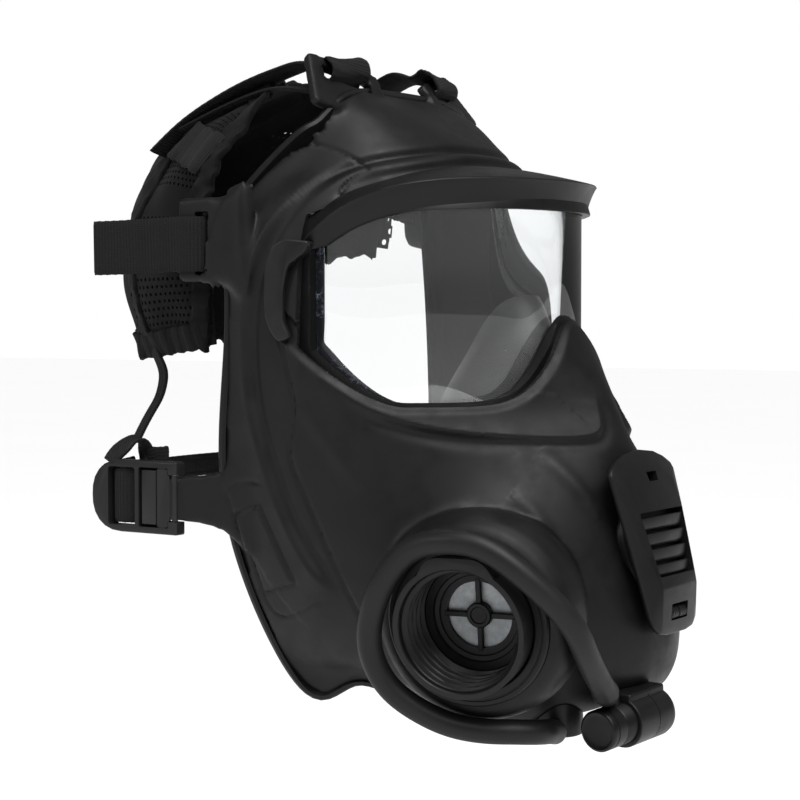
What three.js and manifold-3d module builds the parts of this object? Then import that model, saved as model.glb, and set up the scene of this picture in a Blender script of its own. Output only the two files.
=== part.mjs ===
// Full face respirator: rubber facepiece with a panoramic lens, one inlet port on the right cheek,
// an exhale cover, a drinking tube and a mesh head harness.
// Units are millimetres. +X is the wearer's left, -Y the front, +Z up.
// The origin is the centre of the face opening at eye level, in the plane of the seal's rear edge.
import * as THREE from 'three';
import { mergeVertices } from 'three/addons/utils/BufferGeometryUtils.js';
import Module from 'manifold-3d';

const wasm = await Module();
wasm.setup();

// Driving dimensions
const GAP = 0.3;
const RUBBER_WALL = 2.8;
const LENS = { axisY: -28, radius: 64, thickness: 2.4, halfAngle: 90, border: 3.5 };
const PORT = { centre: [-72, -97.5, -104], outward: [-0.974, -0.178, -0.14] };
const PORT_BORE = 18.4;
const BARREL_RADIUS = 22.3;
const FLANGE_RADIUS = 27.6;
const MOUTH_OUT = 9;
const BARREL_IN = -17;
const FRONT = { centre: [0, -126, -82], outward: [0, -0.971, 0.238] };
const EXHALE_RADIUS = 17;
const TUBE_DIAMETER = 8.2;
const WEBBING_WIDTH = 19;
const WEBBING_THICKNESS = 1.8;
const CONNECTOR = { start: [-38.4, -127.2, -141.2], end: [-2.9, -132.3, -138.9], radius: 7 };
const SEGMENTS = 40;
const MERGE = 1e-4;

const COLOURS = {
  rubber: { color: 0x17181a, roughness: 0.62, metalness: 0 },
  plastic: { color: 0x1d1e20, roughness: 0.5, metalness: 0 },
  satin: { color: 0x2b2c2e, roughness: 0.4, metalness: 0 },
  clear: { color: 0xe8eef0, roughness: 0.05, metalness: 0 },
  valve: { color: 0xb9bcbd, roughness: 0.6, metalness: 0 },
  webbing: { color: 0x141414, roughness: 0.95, metalness: 0 },
  steel: { color: 0x8a8d90, roughness: 0.35, metalness: 1 },
};

// The facepiece's outer surface on the wearer's left: each row runs from the rear edge to the centre
// line, and the rows run from the top of the forehead down and back under the chin.
const FACE_NET = [
  [[57, -19, 57], [53, -23, 60.5], [48.5, -25.5, 65], [42, -27, 70.5], [31, -26.5, 74], [16, -25.5, 75.5],
    [0, -25, 75.5]],
  [[62, -7.3, 45.7], [58, -15, 49.5], [53, -23, 53], [46.5, -31.5, 60], [36, -37.5, 66], [18.5, -38.5, 68.5],
    [0, -38, 68.5]],
  [[66, -3, 38], [63, -13, 40], [58, -24, 44.5], [51, -36, 49.5], [40, -46, 55], [20.5, -51, 59],
    [0, -52, 59.5]],
  [[69.5, 0, 31], [68, -13, 33], [63, -27, 37.5], [55, -40, 42], [42, -52, 47], [22, -60, 50.5],
    [0, -62, 51.5]],
  [[71, 0, 22], [71, -14, 25], [67, -29, 29], [59, -44, 35], [46, -57, 41], [24, -67, 45],
    [0, -70, 46.5]],
  [[72, -1, 8], [73.5, -14, 12], [71, -31, 17], [64, -52, 28], [50.5, -74, 35], [26.2, -91.2, 38],
    [0, -96.3, 39]],
  [[72, -1, -10], [74, -15, -6], [73, -31, -2], [65, -50, 2], [50.5, -74, 5], [26.2, -91.2, 8],
    [0, -96.3, 10]],
  [[72, -1, -34], [74, -17, -30], [74, -32, -26], [66.5, -50, -24], [50.5, -74, -22], [27, -92.5, -17],
    [0, -100.5, -13]],
  [[71.8, 1.5, -54], [73.5, -21, -48], [72, -36, -42], [65.5, -55, -39], [47, -81, -39], [21, -102, -38],
    [0, -113, -36]],
  [[69.5, 2, -73], [71, -22, -72], [69, -44, -68], [61, -68, -63], [46, -91, -60], [22, -114, -58],
    [0, -121, -58]],
  [[66, -2, -92], [68, -25, -92], [67, -52, -86], [61, -78, -83], [48, -103, -81], [24, -120, -79],
    [0, -126, -78]],
  [[60, -8, -112], [63, -30, -110], [64, -56, -106], [60, -86, -104], [48, -111, -102], [22, -127, -100],
    [0, -131, -100]],
  [[54, -10.5, -125], [56, -34, -123], [58, -58, -120], [55, -86, -121], [44, -112, -121], [20, -129, -120],
    [0, -133, -119]],
  [[50, -14.5, -133], [49.5, -38, -127], [50, -61, -130.5], [47, -86, -137], [37, -110, -135.5], [18, -126, -131.5],
    [0, -130, -130]],
  [[46, -20.5, -139], [45, -38, -129.5], [42, -58, -135], [38, -80, -142], [29, -98, -142], [15, -110, -138.5],
    [0, -114, -136]],
  [[44, -24.5, -139.5], [40, -34, -133.5], [34, -40, -136], [27, -46, -137], [19, -51, -137], [10, -55, -136.5],
    [0, -56, -136]],
];
const FACE_STEPS = { across: 2, down: 1 };

// The head harness on the left: from the side edge to the back of the head, bottom row first.
const CAP_NET = [
  [[60, 14, -15], [52, 42, -17], [37, 66, -18], [19, 79, -14], [0, 85, -10]],
  [[64, 13, 14], [59, 42, 14], [43, 71, 14], [22, 84, 14], [0, 89, 12]],
  [[64, 12, 40], [57, 36, 44], [42, 60, 45], [22, 78, 46], [0, 86, 46]],
  [[57, 8, 58], [50, 24, 63], [36, 42, 64.5], [18, 58, 66], [0, 66, 66]],
  [[46, 3, 71], [37, 8, 76.5], [25, 14, 80], [12, 19, 82], [0, 20, 82]],
];
const CAP_STEPS = { across: 2, down: 2 };
const CAP_THICKNESS = 2;
// The left side's lower corner is drawn up towards the temple, most at its front.
const CAP_LIFT = { height: 36, front: 38, rear: 52, foot: -15, head: 60 };

// The drinking tube's centre line, from the inlet under the chin round the right port to the connector.
const TUBE_ROUTE = [
  [-39, -111.9, -143], [-46, -113.4, -141.4], [-54, -113.4, -140.2], [-60.4, -108, -139.6],
  [-64.8, -100.7, -139.4], [-69, -91, -138], [-73.4, -81.2, -133.8], [-79, -72, -125.6], [-83, -67.6, -113.7],
  [-85.3, -69.3, -102.2], [-86.3, -74.6, -90.6], [-85.5, -84.4, -79.6], [-84.8, -97.2, -76],
  [-82.3, -108.9, -77.3], [-78.4, -119.9, -84.4], [-72.9, -129.2, -94.2], [-66.8, -133.9, -103.3],
  [-58.6, -133.7, -112.4], [-48.3, -131.8, -120.5], [-39.4, -130, -126.7], [-33.7, -128.3, -130],
];

// General helpers
const radians = THREE.MathUtils.degToRad;
const vector = (p) => new THREE.Vector3(p[0], p[1], p[2]);
const mirrored = (p) => [-p[0], p[1], p[2]];

function splinePoint(points, t) {
  const last = points.length - 1;
  const scaled = Math.min(Math.max(t, 0), 1) * last;
  const i = Math.min(Math.floor(scaled), last - 1);
  const f = scaled - i;
  const at = (k) => points[Math.min(Math.max(k, 0), last)];
  const before = i > 0 ? at(i - 1) : at(0).map((v, a) => 2 * v - at(1)[a]);
  const after = i + 2 <= last ? at(i + 2) : at(last).map((v, a) => 2 * v - at(last - 1)[a]);
  return at(i).map((p1, a) => {
    const p0 = before[a];
    const p2 = at(i + 1)[a];
    const p3 = after[a];
    return 0.5 * (2 * p1 + (p2 - p0) * f + (2 * p0 - 5 * p1 + 4 * p2 - p3) * f * f
      + (3 * p1 - p0 - 3 * p2 + p3) * f * f * f);
  });
}

// A half net becomes a grid of points from the wearer's right to the left.
function mirroredGrid(net, steps) {
  const rows = net.map((row) => {
    const full = row.map(mirrored).concat(row.slice(0, -1).reverse());
    const count = (full.length - 1) * steps.across;
    return Array.from({ length: count + 1 }, (_, j) => splinePoint(full, j / count));
  });
  const count = (rows.length - 1) * steps.down;
  return Array.from({ length: count + 1 }, (_, i) => (
    rows[0].map((_, j) => splinePoint(rows.map((row) => row[j]), i / count))));
}

function gridNormals(grid) {
  const rowAt = (i) => grid[Math.min(Math.max(i, 0), grid.length - 1)];
  const cell = (row, j) => vector(row[Math.min(Math.max(j, 0), row.length - 1)]);
  return grid.map((row, i) => row.map((_, j) => {
    const down = cell(rowAt(i + 1), j).sub(cell(rowAt(i - 1), j));
    const across = cell(row, j + 1).sub(cell(row, j - 1));
    return down.cross(across).normalize();
  }));
}

function offsetGrid(grid, distance) {
  const normals = gridNormals(grid);
  return grid.map((row, i) => row.map((p, j) => (
    vector(p).addScaledVector(normals[i][j], -distance).toArray())));
}

function bufferGeometry(points, triangles) {
  const geometry = new THREE.BufferGeometry();
  geometry.setAttribute('position', new THREE.Float32BufferAttribute(points.flat(), 3));
  geometry.setIndex(triangles.flat());
  return geometry;
}

// A closed solid between two grids of the same size; wrap joins the last column to the first.
function shellBetween(front, back, wrap = false) {
  const rows = front.length;
  const columns = front[0].length;
  const points = front.flat().concat(back.flat());
  const index = (side, i, j) => side * rows * columns + i * columns + (j % columns);
  const triangles = [];
  const quad = (a, b, c, d) => triangles.push([a, b, c], [a, c, d]);
  const spans = wrap ? columns : columns - 1;
  for (let i = 0; i < rows - 1; i += 1) {
    for (let j = 0; j < spans; j += 1) {
      quad(index(0, i, j), index(0, i + 1, j), index(0, i + 1, j + 1), index(0, i, j + 1));
      quad(index(1, i, j), index(1, i, j + 1), index(1, i + 1, j + 1), index(1, i + 1, j));
    }
  }
  for (let j = 0; j < spans; j += 1) {
    quad(index(0, 0, j), index(0, 0, j + 1), index(1, 0, j + 1), index(1, 0, j));
    quad(index(0, rows - 1, j), index(1, rows - 1, j), index(1, rows - 1, j + 1), index(0, rows - 1, j + 1));
  }
  if (!wrap) {
    const end = columns - 1;
    for (let i = 0; i < rows - 1; i += 1) {
      quad(index(0, i, 0), index(1, i, 0), index(1, i + 1, 0), index(0, i + 1, 0));
      quad(index(0, i, end), index(0, i + 1, end), index(1, i + 1, end), index(1, i, end));
    }
  }
  return outward(bufferGeometry(points, triangles));
}

// A grid closed behind: its rim is carried back by the given step and shut by a fan.
function closedVolume(grid, back) {
  const rows = grid.length;
  const columns = grid[0].length;
  const points = grid.flat();
  const triangles = [];
  for (let i = 0; i < rows - 1; i += 1) {
    for (let j = 0; j < columns - 1; j += 1) {
      const a = i * columns + j;
      triangles.push([a, a + columns, a + columns + 1], [a, a + columns + 1, a + 1]);
    }
  }
  const rim = [];
  for (let j = 0; j < columns - 1; j += 1) rim.push(j);
  for (let i = 0; i < rows - 1; i += 1) rim.push(i * columns + columns - 1);
  for (let j = columns - 1; j > 0; j -= 1) rim.push((rows - 1) * columns + j);
  for (let i = rows - 1; i > 0; i -= 1) rim.push(i * columns);
  let edge = rim;
  if (back > 0) {
    edge = rim.map((k) => points.push([points[k][0], points[k][1] + back, points[k][2]]) - 1);
    rim.forEach((a, k) => {
      const b = rim[(k + 1) % rim.length];
      triangles.push([a, b, edge[(k + 1) % rim.length]], [a, edge[(k + 1) % rim.length], edge[k]]);
    });
  }
  const centre = points.push([0, -20 + back, -30]) - 1;
  edge.forEach((a, k) => triangles.push([a, edge[(k + 1) % edge.length], centre]));
  return outward(bufferGeometry(points, triangles));
}

function signedVolume(geometry) {
  const p = geometry.getAttribute('position');
  const index = geometry.getIndex();
  const at = (k) => new THREE.Vector3().fromBufferAttribute(p, index.getX(k));
  let total = 0;
  for (let k = 0; k < index.count; k += 3) total += at(k).dot(at(k + 1).cross(at(k + 2)));
  return total / 6;
}

function outward(geometry) {
  if (signedVolume(geometry) < 0) {
    const index = geometry.getIndex();
    for (let k = 0; k < index.count; k += 3) {
      const swap = index.getX(k + 1);
      index.setX(k + 1, index.getX(k + 2));
      index.setX(k + 2, swap);
    }
  }
  return geometry;
}

function solid(source) {
  const plain = source.clone();
  plain.deleteAttribute('normal');
  plain.deleteAttribute('uv');
  const merged = outward(mergeVertices(plain, MERGE));
  return new wasm.Manifold(new wasm.Mesh({
    numProp: 3,
    vertProperties: new Float32Array(merged.getAttribute('position').array),
    triVerts: new Uint32Array(merged.getIndex().array),
  }));
}

function fromSolid(body) {
  const mesh = body.getMesh();
  const geometry = new THREE.BufferGeometry();
  geometry.setAttribute('position', new THREE.BufferAttribute(new Float32Array(mesh.vertProperties), 3));
  geometry.setIndex(new THREE.BufferAttribute(new Uint32Array(mesh.triVerts), 1));
  return geometry;
}

const asSolid = (piece) => (piece instanceof THREE.BufferGeometry ? solid(piece) : piece);
const cut = (body, ...tools) => tools.reduce((left, tool) => left.subtract(asSolid(tool)), body);
const join = (body, ...more) => more.reduce((left, extra) => left.add(asSolid(extra)), body);

// A matrix whose +Z looks along outward, with +Y as near to up as it can be.
function frameAt(origin, direction, up = [0, 0, 1]) {
  const z = vector(direction).normalize();
  const x = vector(up).cross(z).normalize();
  const y = z.clone().cross(x);
  return new THREE.Matrix4().makeBasis(x, y, z).setPosition(vector(origin));
}

const placed = (geometry, matrix) => geometry.clone().applyMatrix4(matrix);
const moved = (geometry, x, y, z) => geometry.clone().translate(x, y, z);
const leftOf = (geometry) => outward(mergeVertices(stripped(geometry).scale(-1, 1, 1), MERGE));

function stripped(geometry) {
  const plain = geometry.clone();
  plain.deleteAttribute('normal');
  plain.deleteAttribute('uv');
  return plain;
}

// A lathe round the local Z axis from [radius, height] points.
function turned(profile, segments = SEGMENTS) {
  const points = profile.map(([r, h]) => new THREE.Vector2(r, h));
  return new THREE.LatheGeometry(points, segments).rotateX(Math.PI / 2);
}

const ring = (inner, outer, low, high, segments = SEGMENTS) => turned(
  [[inner, low], [outer, low], [outer, high], [inner, high], [inner, low]], segments);
const disc = (radius, low, high, segments = SEGMENTS) => turned(
  [[0, low], [radius, low], [radius, high], [0, high]], segments);
const box = (x, y, z) => new THREE.BoxGeometry(x, y, z);

function slab(outline, depth, holes = []) {
  const shape = new THREE.Shape(outline.map(([x, y]) => new THREE.Vector2(x, y)));
  holes.forEach((hole) => shape.holes.push(new THREE.Path(hole.map(([x, y]) => new THREE.Vector2(x, y)))));
  return new THREE.ExtrudeGeometry(shape, { depth, bevelEnabled: false });
}

const rectangle = (x0, x1, y0, y1) => [[x0, y0], [x1, y0], [x1, y1], [x0, y1]];

function roundTube(route, diameter, steps, sides = 10) {
  const section = new THREE.Shape();
  for (let k = 0; k < sides; k += 1) {
    const angle = (2 * Math.PI * k) / sides;
    const point = [Math.cos(angle) * diameter / 2, Math.sin(angle) * diameter / 2];
    if (k === 0) section.moveTo(...point);
    else section.lineTo(...point);
  }
  const curve = new THREE.CatmullRomCurve3(route.map(vector));
  return new THREE.ExtrudeGeometry(section, { steps, bevelEnabled: false, extrudePath: curve });
}

// A flat strap through the given points, with its width along the widthwise direction.
function strap(route, across, width, thickness, steps) {
  const wide = vector(across).normalize().multiplyScalar(width / 2);
  const at = (t) => vector(splinePoint(route, t));
  const rows = [[], []];
  for (let i = 0; i <= steps; i += 1) {
    const t = i / steps;
    const along = at(Math.min(t + 0.01, 1)).sub(at(Math.max(t - 0.01, 0)));
    const normal = along.cross(wide).normalize().multiplyScalar(thickness / 2);
    const centre = at(t);
    [normal, normal.clone().negate()].forEach((offset, side) => {
      const middle = centre.clone().add(offset);
      rows[side].push([middle.clone().sub(wide).toArray(), middle.clone().add(wide).toArray()]);
    });
  }
  return shellBetween(rows[0], rows[1]);
}

const object = new THREE.Group();
const materials = Object.fromEntries(Object.entries(COLOURS).map(([name, look]) => (
  [name, new THREE.MeshStandardMaterial(look)])));

function add(name, source, look) {
  const geometry = source instanceof THREE.BufferGeometry ? source : fromSolid(source);
  const mesh = new THREE.Mesh(geometry, materials[look].clone());
  mesh.name = name;
  object.add(mesh);
}

// Visor: the lens and the opening share one outline, as heights at each angle round the lens axis.
const lensTop = (angle) => 33 - 11 * (Math.abs(angle) / 90) ** 4;
function lensBottom(angle) {
  const a = Math.abs(angle);
  const nose = 29.5 * Math.exp(-((a / 17) ** 2));
  const temple = 22 * Math.max(0, (a - 58) / 32) ** 1.6;
  return -35.5 + nose + temple;
}

function visorBlock(innerRadius, outerRadius, border, halfAngle, steps = 30, rise = 0) {
  const onRadius = (radius, height) => Array.from({ length: steps + 1 }, (_, k) => {
    const angle = -halfAngle + (2 * halfAngle * k) / steps;
    const turn = radians(angle);
    return [radius * Math.sin(turn), LENS.axisY - radius * Math.cos(turn), height(angle)];
  });
  const top = (angle) => lensTop(angle) + border + rise;
  const bottom = (angle) => lensBottom(angle) - border;
  return shellBetween(
    [onRadius(outerRadius, top), onRadius(outerRadius, bottom)],
    [onRadius(innerRadius, top), onRadius(innerRadius, bottom)]);
}

// The peak is a band whose front face leans out between two edges that fall towards the temples.
const peakTop = (angle) => 42 - 27.5 * (Math.abs(angle) / 92) ** 5;
const peakBottom = (angle) => 32.3 - 12.8 * (Math.abs(angle) / 81) ** 5;
function peakBand(steps = 28) {
  const halfAngle = 84;
  const line = (radius, height) => Array.from({ length: steps + 1 }, (_, k) => {
    const angle = -halfAngle + (2 * halfAngle * k) / steps;
    const turn = radians(angle);
    return [radius * Math.sin(turn), LENS.axisY - radius * Math.cos(turn), height(angle)];
  });
  const rearRise = 3.5;
  const frontGrid = [
    line(58, (a) => peakTop(a) + rearRise), line(69.6, peakTop), line(66, peakBottom),
  ];
  const backGrid = [
    line(57, (a) => peakTop(a) + rearRise - 2.6), line(66.6, (a) => peakTop(a) - 2.6), line(64.4, peakBottom),
  ];
  return shellBetween(frontGrid, backGrid);
}

const portFrame = frameAt(PORT.centre, PORT.outward);
const frontFrame = frameAt(FRONT.centre, FRONT.outward);

// Facepiece
const topTab = placed(
  slab([[-18, -9], [18, -9], [16, 15], [-16, 15]], 3.6, [rectangle(-10.5, 10.5, 4.5, 10.5)]),
  frameAt([-34.5, -24.5, 71], [-0.15, -0.8, 0.55], [0.35, 0.45, 0.8]));
const templeTab = placed(
  slab([[-14.5, -10], [14.5, -10], [14.5, 17], [-14.5, 17]], 5.4, [rectangle(-10.5, 10.5, 4.5, 9.5)]),
  frameAt([-71.6, 0, 21.5], [-0.99, -0.05, 0], [-0.05, 0.99, 0]));
const cheekTab = placed(
  slab([[-12, -10], [12, -10], [8.5, 6], [7.6, 17.5], [-7.6, 17.5], [-8.5, 6]], 3.4),
  frameAt([-69.8, 2, -69], [-0.99, -0.13, 0], [-0.13, 0.99, 0]));
const PIN = { x: -74.6, y: 21, z: -69, radius: 1.1 };
const knuckle = moved(disc(2.7, -7.6, 7.6, 20), PIN.x, PIN.y, PIN.z);
const boss = placed(turned([[0, -40], [27, -40], [35.6, -14], [33.2, -5], [29.8, -0.9], [0, -0.9]], 28),
  portFrame);
const DRINK_INLET = [-29, -107, -136];
const drinkHole = moved(disc(6.9, -10, 12, 16), ...DRINK_INLET);

const clipBlock = (grow) => placed(
  box(11 + 2 * grow, 4.4 + 2 * grow, 34 + 2 * grow),
  new THREE.Matrix4().makeRotationZ(radians(-74)).setPosition(-73.6, -26.5, 2.9));

// The closed volume within the facepiece's outer surface, grown by a distance.
const faceVolume = (grow) => (
  solid(closedVolume(offsetGrid(mirroredGrid(FACE_NET, FACE_STEPS), -grow), 0)));

// The space inside the facepiece, from a depth below its outer surface, carried back past the rear edge.
const insideVolume = (depth) => (
  solid(closedVolume(offsetGrid(mirroredGrid(FACE_NET, FACE_STEPS), depth), 90)));

function facepiece() {
  const bores = placed(disc(BARREL_RADIUS + GAP, -60, 20, 32), portFrame);
  const rebate = placed(disc(FLANGE_RADIUS + GAP, -2.8, 20, 32), portFrame);
  const tabs = [topTab, templeTab, cheekTab, knuckle];
  const shell = join(faceVolume(0), boss, ...tabs, ...tabs.map(leftOf)).subtract(insideVolume(RUBBER_WALL));
  const pinHole = moved(disc(PIN.radius + GAP, -12, 12, 12), PIN.x, PIN.y, PIN.z);
  return cut(
    shell,
    placed(disc(19.8, 0.3, 12, 28), frontFrame),
    bores,
    rebate,
    visorBlock(50, 90, 0, 88, 24, 6.5),
    visorBlock(
      LENS.radius - LENS.thickness - GAP, LENS.radius + GAP, LENS.border + GAP, LENS.halfAngle + 0.4, 24),
    placed(disc(EXHALE_RADIUS + GAP, -20, 20), frontFrame),
    drinkHole, pinHole, leftOf(pinHole), clipBlock(GAP), leftOf(clipBlock(GAP)),
  );
}
add('facepiece', facepiece(), 'rubber');

// Lens, its gasket, the peak and the temple clips
add('visor_lens', visorBlock(LENS.radius - LENS.thickness, LENS.radius, LENS.border, LENS.halfAngle), 'clear');
const gasketRing = solid(visorBlock(LENS.radius + GAP, 80, 3, 89.4, 24)).subtract(
  solid(visorBlock(50, 90, -1.6, 86, 24)));
const gasket = gasketRing.intersect(insideVolume(RUBBER_WALL + GAP));
add('lens_gasket', cut(gasket, clipBlock(GAP), leftOf(clipBlock(GAP))), 'plastic');
add('brow_peak', solid(peakBand()).subtract(faceVolume(GAP)), 'rubber');
add('temple_clip_right', clipBlock(0), 'satin');
add('temple_clip_left', leftOf(clipBlock(0)), 'satin');

// Nose cup: a loft from a pear-shaped rear rim to the ring round the exhale valve.
const CUP_RIM = [
  [0, -79, 1], [10, -73, -2], [20, -67, -17], [30, -61, -35], [36, -57, -58], [37, -57, -80], [32, -62, -100],
  [19, -70, -113], [0, -75, -117],
];
const CUP_RING = { radius: 19, centre: [0, -108, -86.4], steps: 4, bulge: 8 };
function noseCup(shrink) {
  const side = CUP_RIM.slice(1, -1);
  const rim = [CUP_RIM[0], ...side, CUP_RIM[CUP_RIM.length - 1], ...side.slice().reverse().map(mirrored)];
  const count = rim.length;
  const rows = [];
  for (let i = 0; i <= CUP_RING.steps; i += 1) {
    const f = i / CUP_RING.steps;
    rows.push(rim.map((p, k) => {
      const angle = (2 * Math.PI * k) / count;
      const front = vector([CUP_RING.radius * Math.sin(angle), 0, CUP_RING.radius * Math.cos(angle)])
        .add(vector(CUP_RING.centre));
      const rear = vector(p);
      const centre = new THREE.Vector3(0, -90, -62);
      const point = rear.clone().lerp(front, f);
      const away = point.clone().sub(centre).setY(0).normalize();
      point.addScaledVector(away, CUP_RING.bulge * Math.sin(Math.PI * f) - shrink);
      return point.toArray();
    }));
  }
  return rows;
}
const cupValves = [[-33, -84, -72], [33, -84, -72]].map((centre) => (
  frameAt(centre, [Math.sign(centre[0]), -0.35, 0])));
const CUP_VALVE = { bore: 9.3, throat: 6.6, seat: 9, flange: 11 };
const MOUTH_ROUTE = [[-29, -107, -131], [-28.2, -105.9, -125], [-21, -99, -116], [-11, -91, -107],
  [-4, -87, -98]];
const MOUTH_ROUTE_BORE = 7.8;
const noseCupBody = cupValves.reduce(
  (body, matrix) => cut(body, placed(disc(CUP_VALVE.bore, -14, 14, 24), matrix)),
  cut(solid(shellBetween(noseCup(0), noseCup(2), true)), roundTube(MOUTH_ROUTE, MOUTH_ROUTE_BORE, 12, 8)));
add('nose_cup', noseCupBody, 'rubber');

const cupValveSeat = () => {
  const { throat, seat, flange } = CUP_VALVE;
  const rim = solid(turned(
    [[throat, -2], [seat, -2], [seat, 2.6], [flange, 2.6], [flange, 4.2], [throat, 4.2], [throat, -2]], 24));
  return join(rim, moved(box(15, 1.4, 1.6), 0, 0, 1.8), moved(box(1.4, 15, 1.6), 0, 0, 1.8));
};
const cupValveDisc = disc(8.2, -3.1, -2.3, 24);
['right', 'left'].forEach((side, k) => {
  add(`nose_cup_valve_seat_${side}`, placed(fromSolid(cupValveSeat()), cupValves[k]), 'plastic');
  add(`nose_cup_valve_disc_${side}`, placed(cupValveDisc, cupValves[k]), 'valve');
});

// Inlet port: barrel with the round thread and the shield lug, its flange ring, the spoked seat and disc
const LUG_TOP = 24.2;
function portBarrel() {
  const profile = [[PORT_BORE, BARREL_IN], [BARREL_RADIUS, BARREL_IN], [BARREL_RADIUS, MOUTH_OUT],
    [PORT_BORE + 0.9, MOUTH_OUT], [PORT_BORE + 0.9, MOUTH_OUT - 17], [PORT_BORE, MOUTH_OUT - 17.5],
    [PORT_BORE, BARREL_IN]];
  const barrel = solid(turned(profile, 32));
  const lug = slab([[-20.8, 8], [-10.5, 21.5], [-6.5, LUG_TOP], [6.5, LUG_TOP], [10.5, 21.5], [20.8, 8]], 3.2);
  return join(barrel, cut(solid(moved(lug, 0, 0, MOUTH_OUT - 3.2)), disc(BARREL_RADIUS - 1, -5, 20, 32)));
}
const clampRing = ring(BARREL_RADIUS + GAP, FLANGE_RADIUS, -2.4, 0, 36);
const SEAT = { outer: 18.1, inner: 11.3, low: -13, high: -9.5 };
function valveSeat() {
  const cross = [[25, 2], [2, 25]].map(([x, y]) => moved(box(x, y, 2.2), 0, 0, SEAT.high - 1.1));
  return join(solid(ring(SEAT.inner, SEAT.outer, SEAT.low, SEAT.high, 36)), ...cross,
    disc(4.3, SEAT.high - 2.2, SEAT.high, 20));
}
const inletDisc = disc(12.7, SEAT.low - 1.2, SEAT.low - GAP, 28);
add('inlet_port_right', placed(fromSolid(portBarrel()), portFrame), 'plastic');
add('clamp_ring_right', placed(clampRing, portFrame), 'plastic');
add('inlet_valve_seat_right', placed(fromSolid(valveSeat()), portFrame), 'plastic');
add('inlet_valve_disc_right', placed(inletDisc, portFrame), 'valve');

// Front module: valve body, exhale disc, speech diaphragm and the louvred cover
const exhaleBody = () => {
  const barrel = solid(turned([[14.2, -13], [EXHALE_RADIUS, -13], [EXHALE_RADIUS, 0.6], [19.5, 0.6],
    [19.5, 2], [14.2, 2], [14.2, -13]], 32));
  return join(barrel, moved(box(29, 1.8, 2), 0, 0, -6), moved(box(1.8, 29, 2), 0, 0, -6));
};
add('exhale_valve_body', placed(fromSolid(exhaleBody()), frontFrame), 'plastic');
add('exhale_valve_disc', placed(disc(13.6, -4.6, -3.6, 28), frontFrame), 'valve');
add('speech_diaphragm', placed(disc(13.8, -12.4, -11.6, 28), frontFrame), 'steel');

const COVER_OUTLINE = [
  [-13, -31.5], [13, -31.5], [17.5, -27], [17, -17], [19, -9.5], [22, 9], [24, 24], [16, 28.5], [8, 30.5],
  [-8, 30.5], [-16, 28.5], [-24, 24], [-22, 9], [-19, -9.5], [-17, -17], [-17.5, -27],
];
const COVER = { base: 2.6, depth: 4.6, wall: 1.6 };
const louvres = [9.5, 4, -1.5, -7].map((y) => rectangle(-13.5 - y * 0.15, 13.5 + y * 0.15, y - 1.9, y + 1.3));
function exhaleCover() {
  const plate = slab(COVER_OUTLINE, COVER.depth,
    [rectangle(-3.4, 3.4, 19.5, 22.8), rectangle(-6, 6, -28.4, -22.4), ...louvres]);
  const inner = COVER_OUTLINE.map(([x, y]) => [x * 0.9, y * 0.78 + 3]);
  const hollow = moved(slab(inner, COVER.depth), 0, 0, COVER.base - COVER.wall);
  return cut(solid(moved(plate, 0, 0, COVER.base)), hollow);
}
add('exhale_cover', placed(fromSolid(exhaleCover()), frontFrame), 'plastic');
add('cover_latch', placed(moved(box(10.8, 5.2, 6.2), 0, -25.4, COVER.base + 2.4), frontFrame), 'plastic');

// Drink connector in its chin clip, its end cap, the tube, the inlet under the chin and the mouth tube
const connectorAxis = vector(CONNECTOR.end).sub(vector(CONNECTOR.start));
const connectorLength = connectorAxis.length();
const connectorFrame = frameAt(CONNECTOR.start, connectorAxis.toArray());
const CAP_LENGTH = 8;
add('drink_connector', join(
  solid(placed(disc(CONNECTOR.radius, CAP_LENGTH, connectorLength, 24), connectorFrame)),
  placed(disc(5.2, 5, CAP_LENGTH + 2, 20), connectorFrame),
  roundTube([[-33, -128.1, -130.4], [-29.6, -127.8, -131], [-27.9, -128.6, -136]], 4.6, 4, 8)), 'plastic');
add('connector_cap', placed(turned([[0, 0], [CONNECTOR.radius, 0], [CONNECTOR.radius, CAP_LENGTH - GAP],
  [5.6, CAP_LENGTH - GAP], [5.6, 4.6], [0, 4.6]], 24), connectorFrame), 'plastic');
const CLIP = { low: 13.5, high: connectorLength - 0.6, radius: 8.6, foot: 10 };
const clipBody = join(
  solid(placed(disc(CLIP.radius, CLIP.low, CLIP.high, 24), connectorFrame)),
  placed(moved(box(8, CLIP.foot, CLIP.high - CLIP.low), 0, CLIP.foot / 2, (CLIP.low + CLIP.high) / 2),
    connectorFrame));
add('chin_clip', cut(clipBody, faceVolume(GAP),
  placed(disc(CONNECTOR.radius + GAP, 0, connectorLength + 5, 24), connectorFrame)), 'plastic');
add('drinking_tube', roundTube(TUBE_ROUTE, TUBE_DIAMETER, 44, 8), 'rubber');
const nozzle = placed(disc(3.6, 0, 9.3, 16), frameAt([DRINK_INLET[0], DRINK_INLET[1], -143],
  [-0.895, -0.446, 0]));
const inletSkirt = solid(moved(disc(8.9, -10.6, 2, 24), ...DRINK_INLET)).subtract(faceVolume(GAP));
add('drink_inlet', join(solid(moved(disc(6.5, -10, 4, 20), ...DRINK_INLET)), inletSkirt, nozzle), 'plastic');
add('mouth_tube', roundTube(MOUTH_ROUTE, 7, 12, 8), 'rubber');

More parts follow.
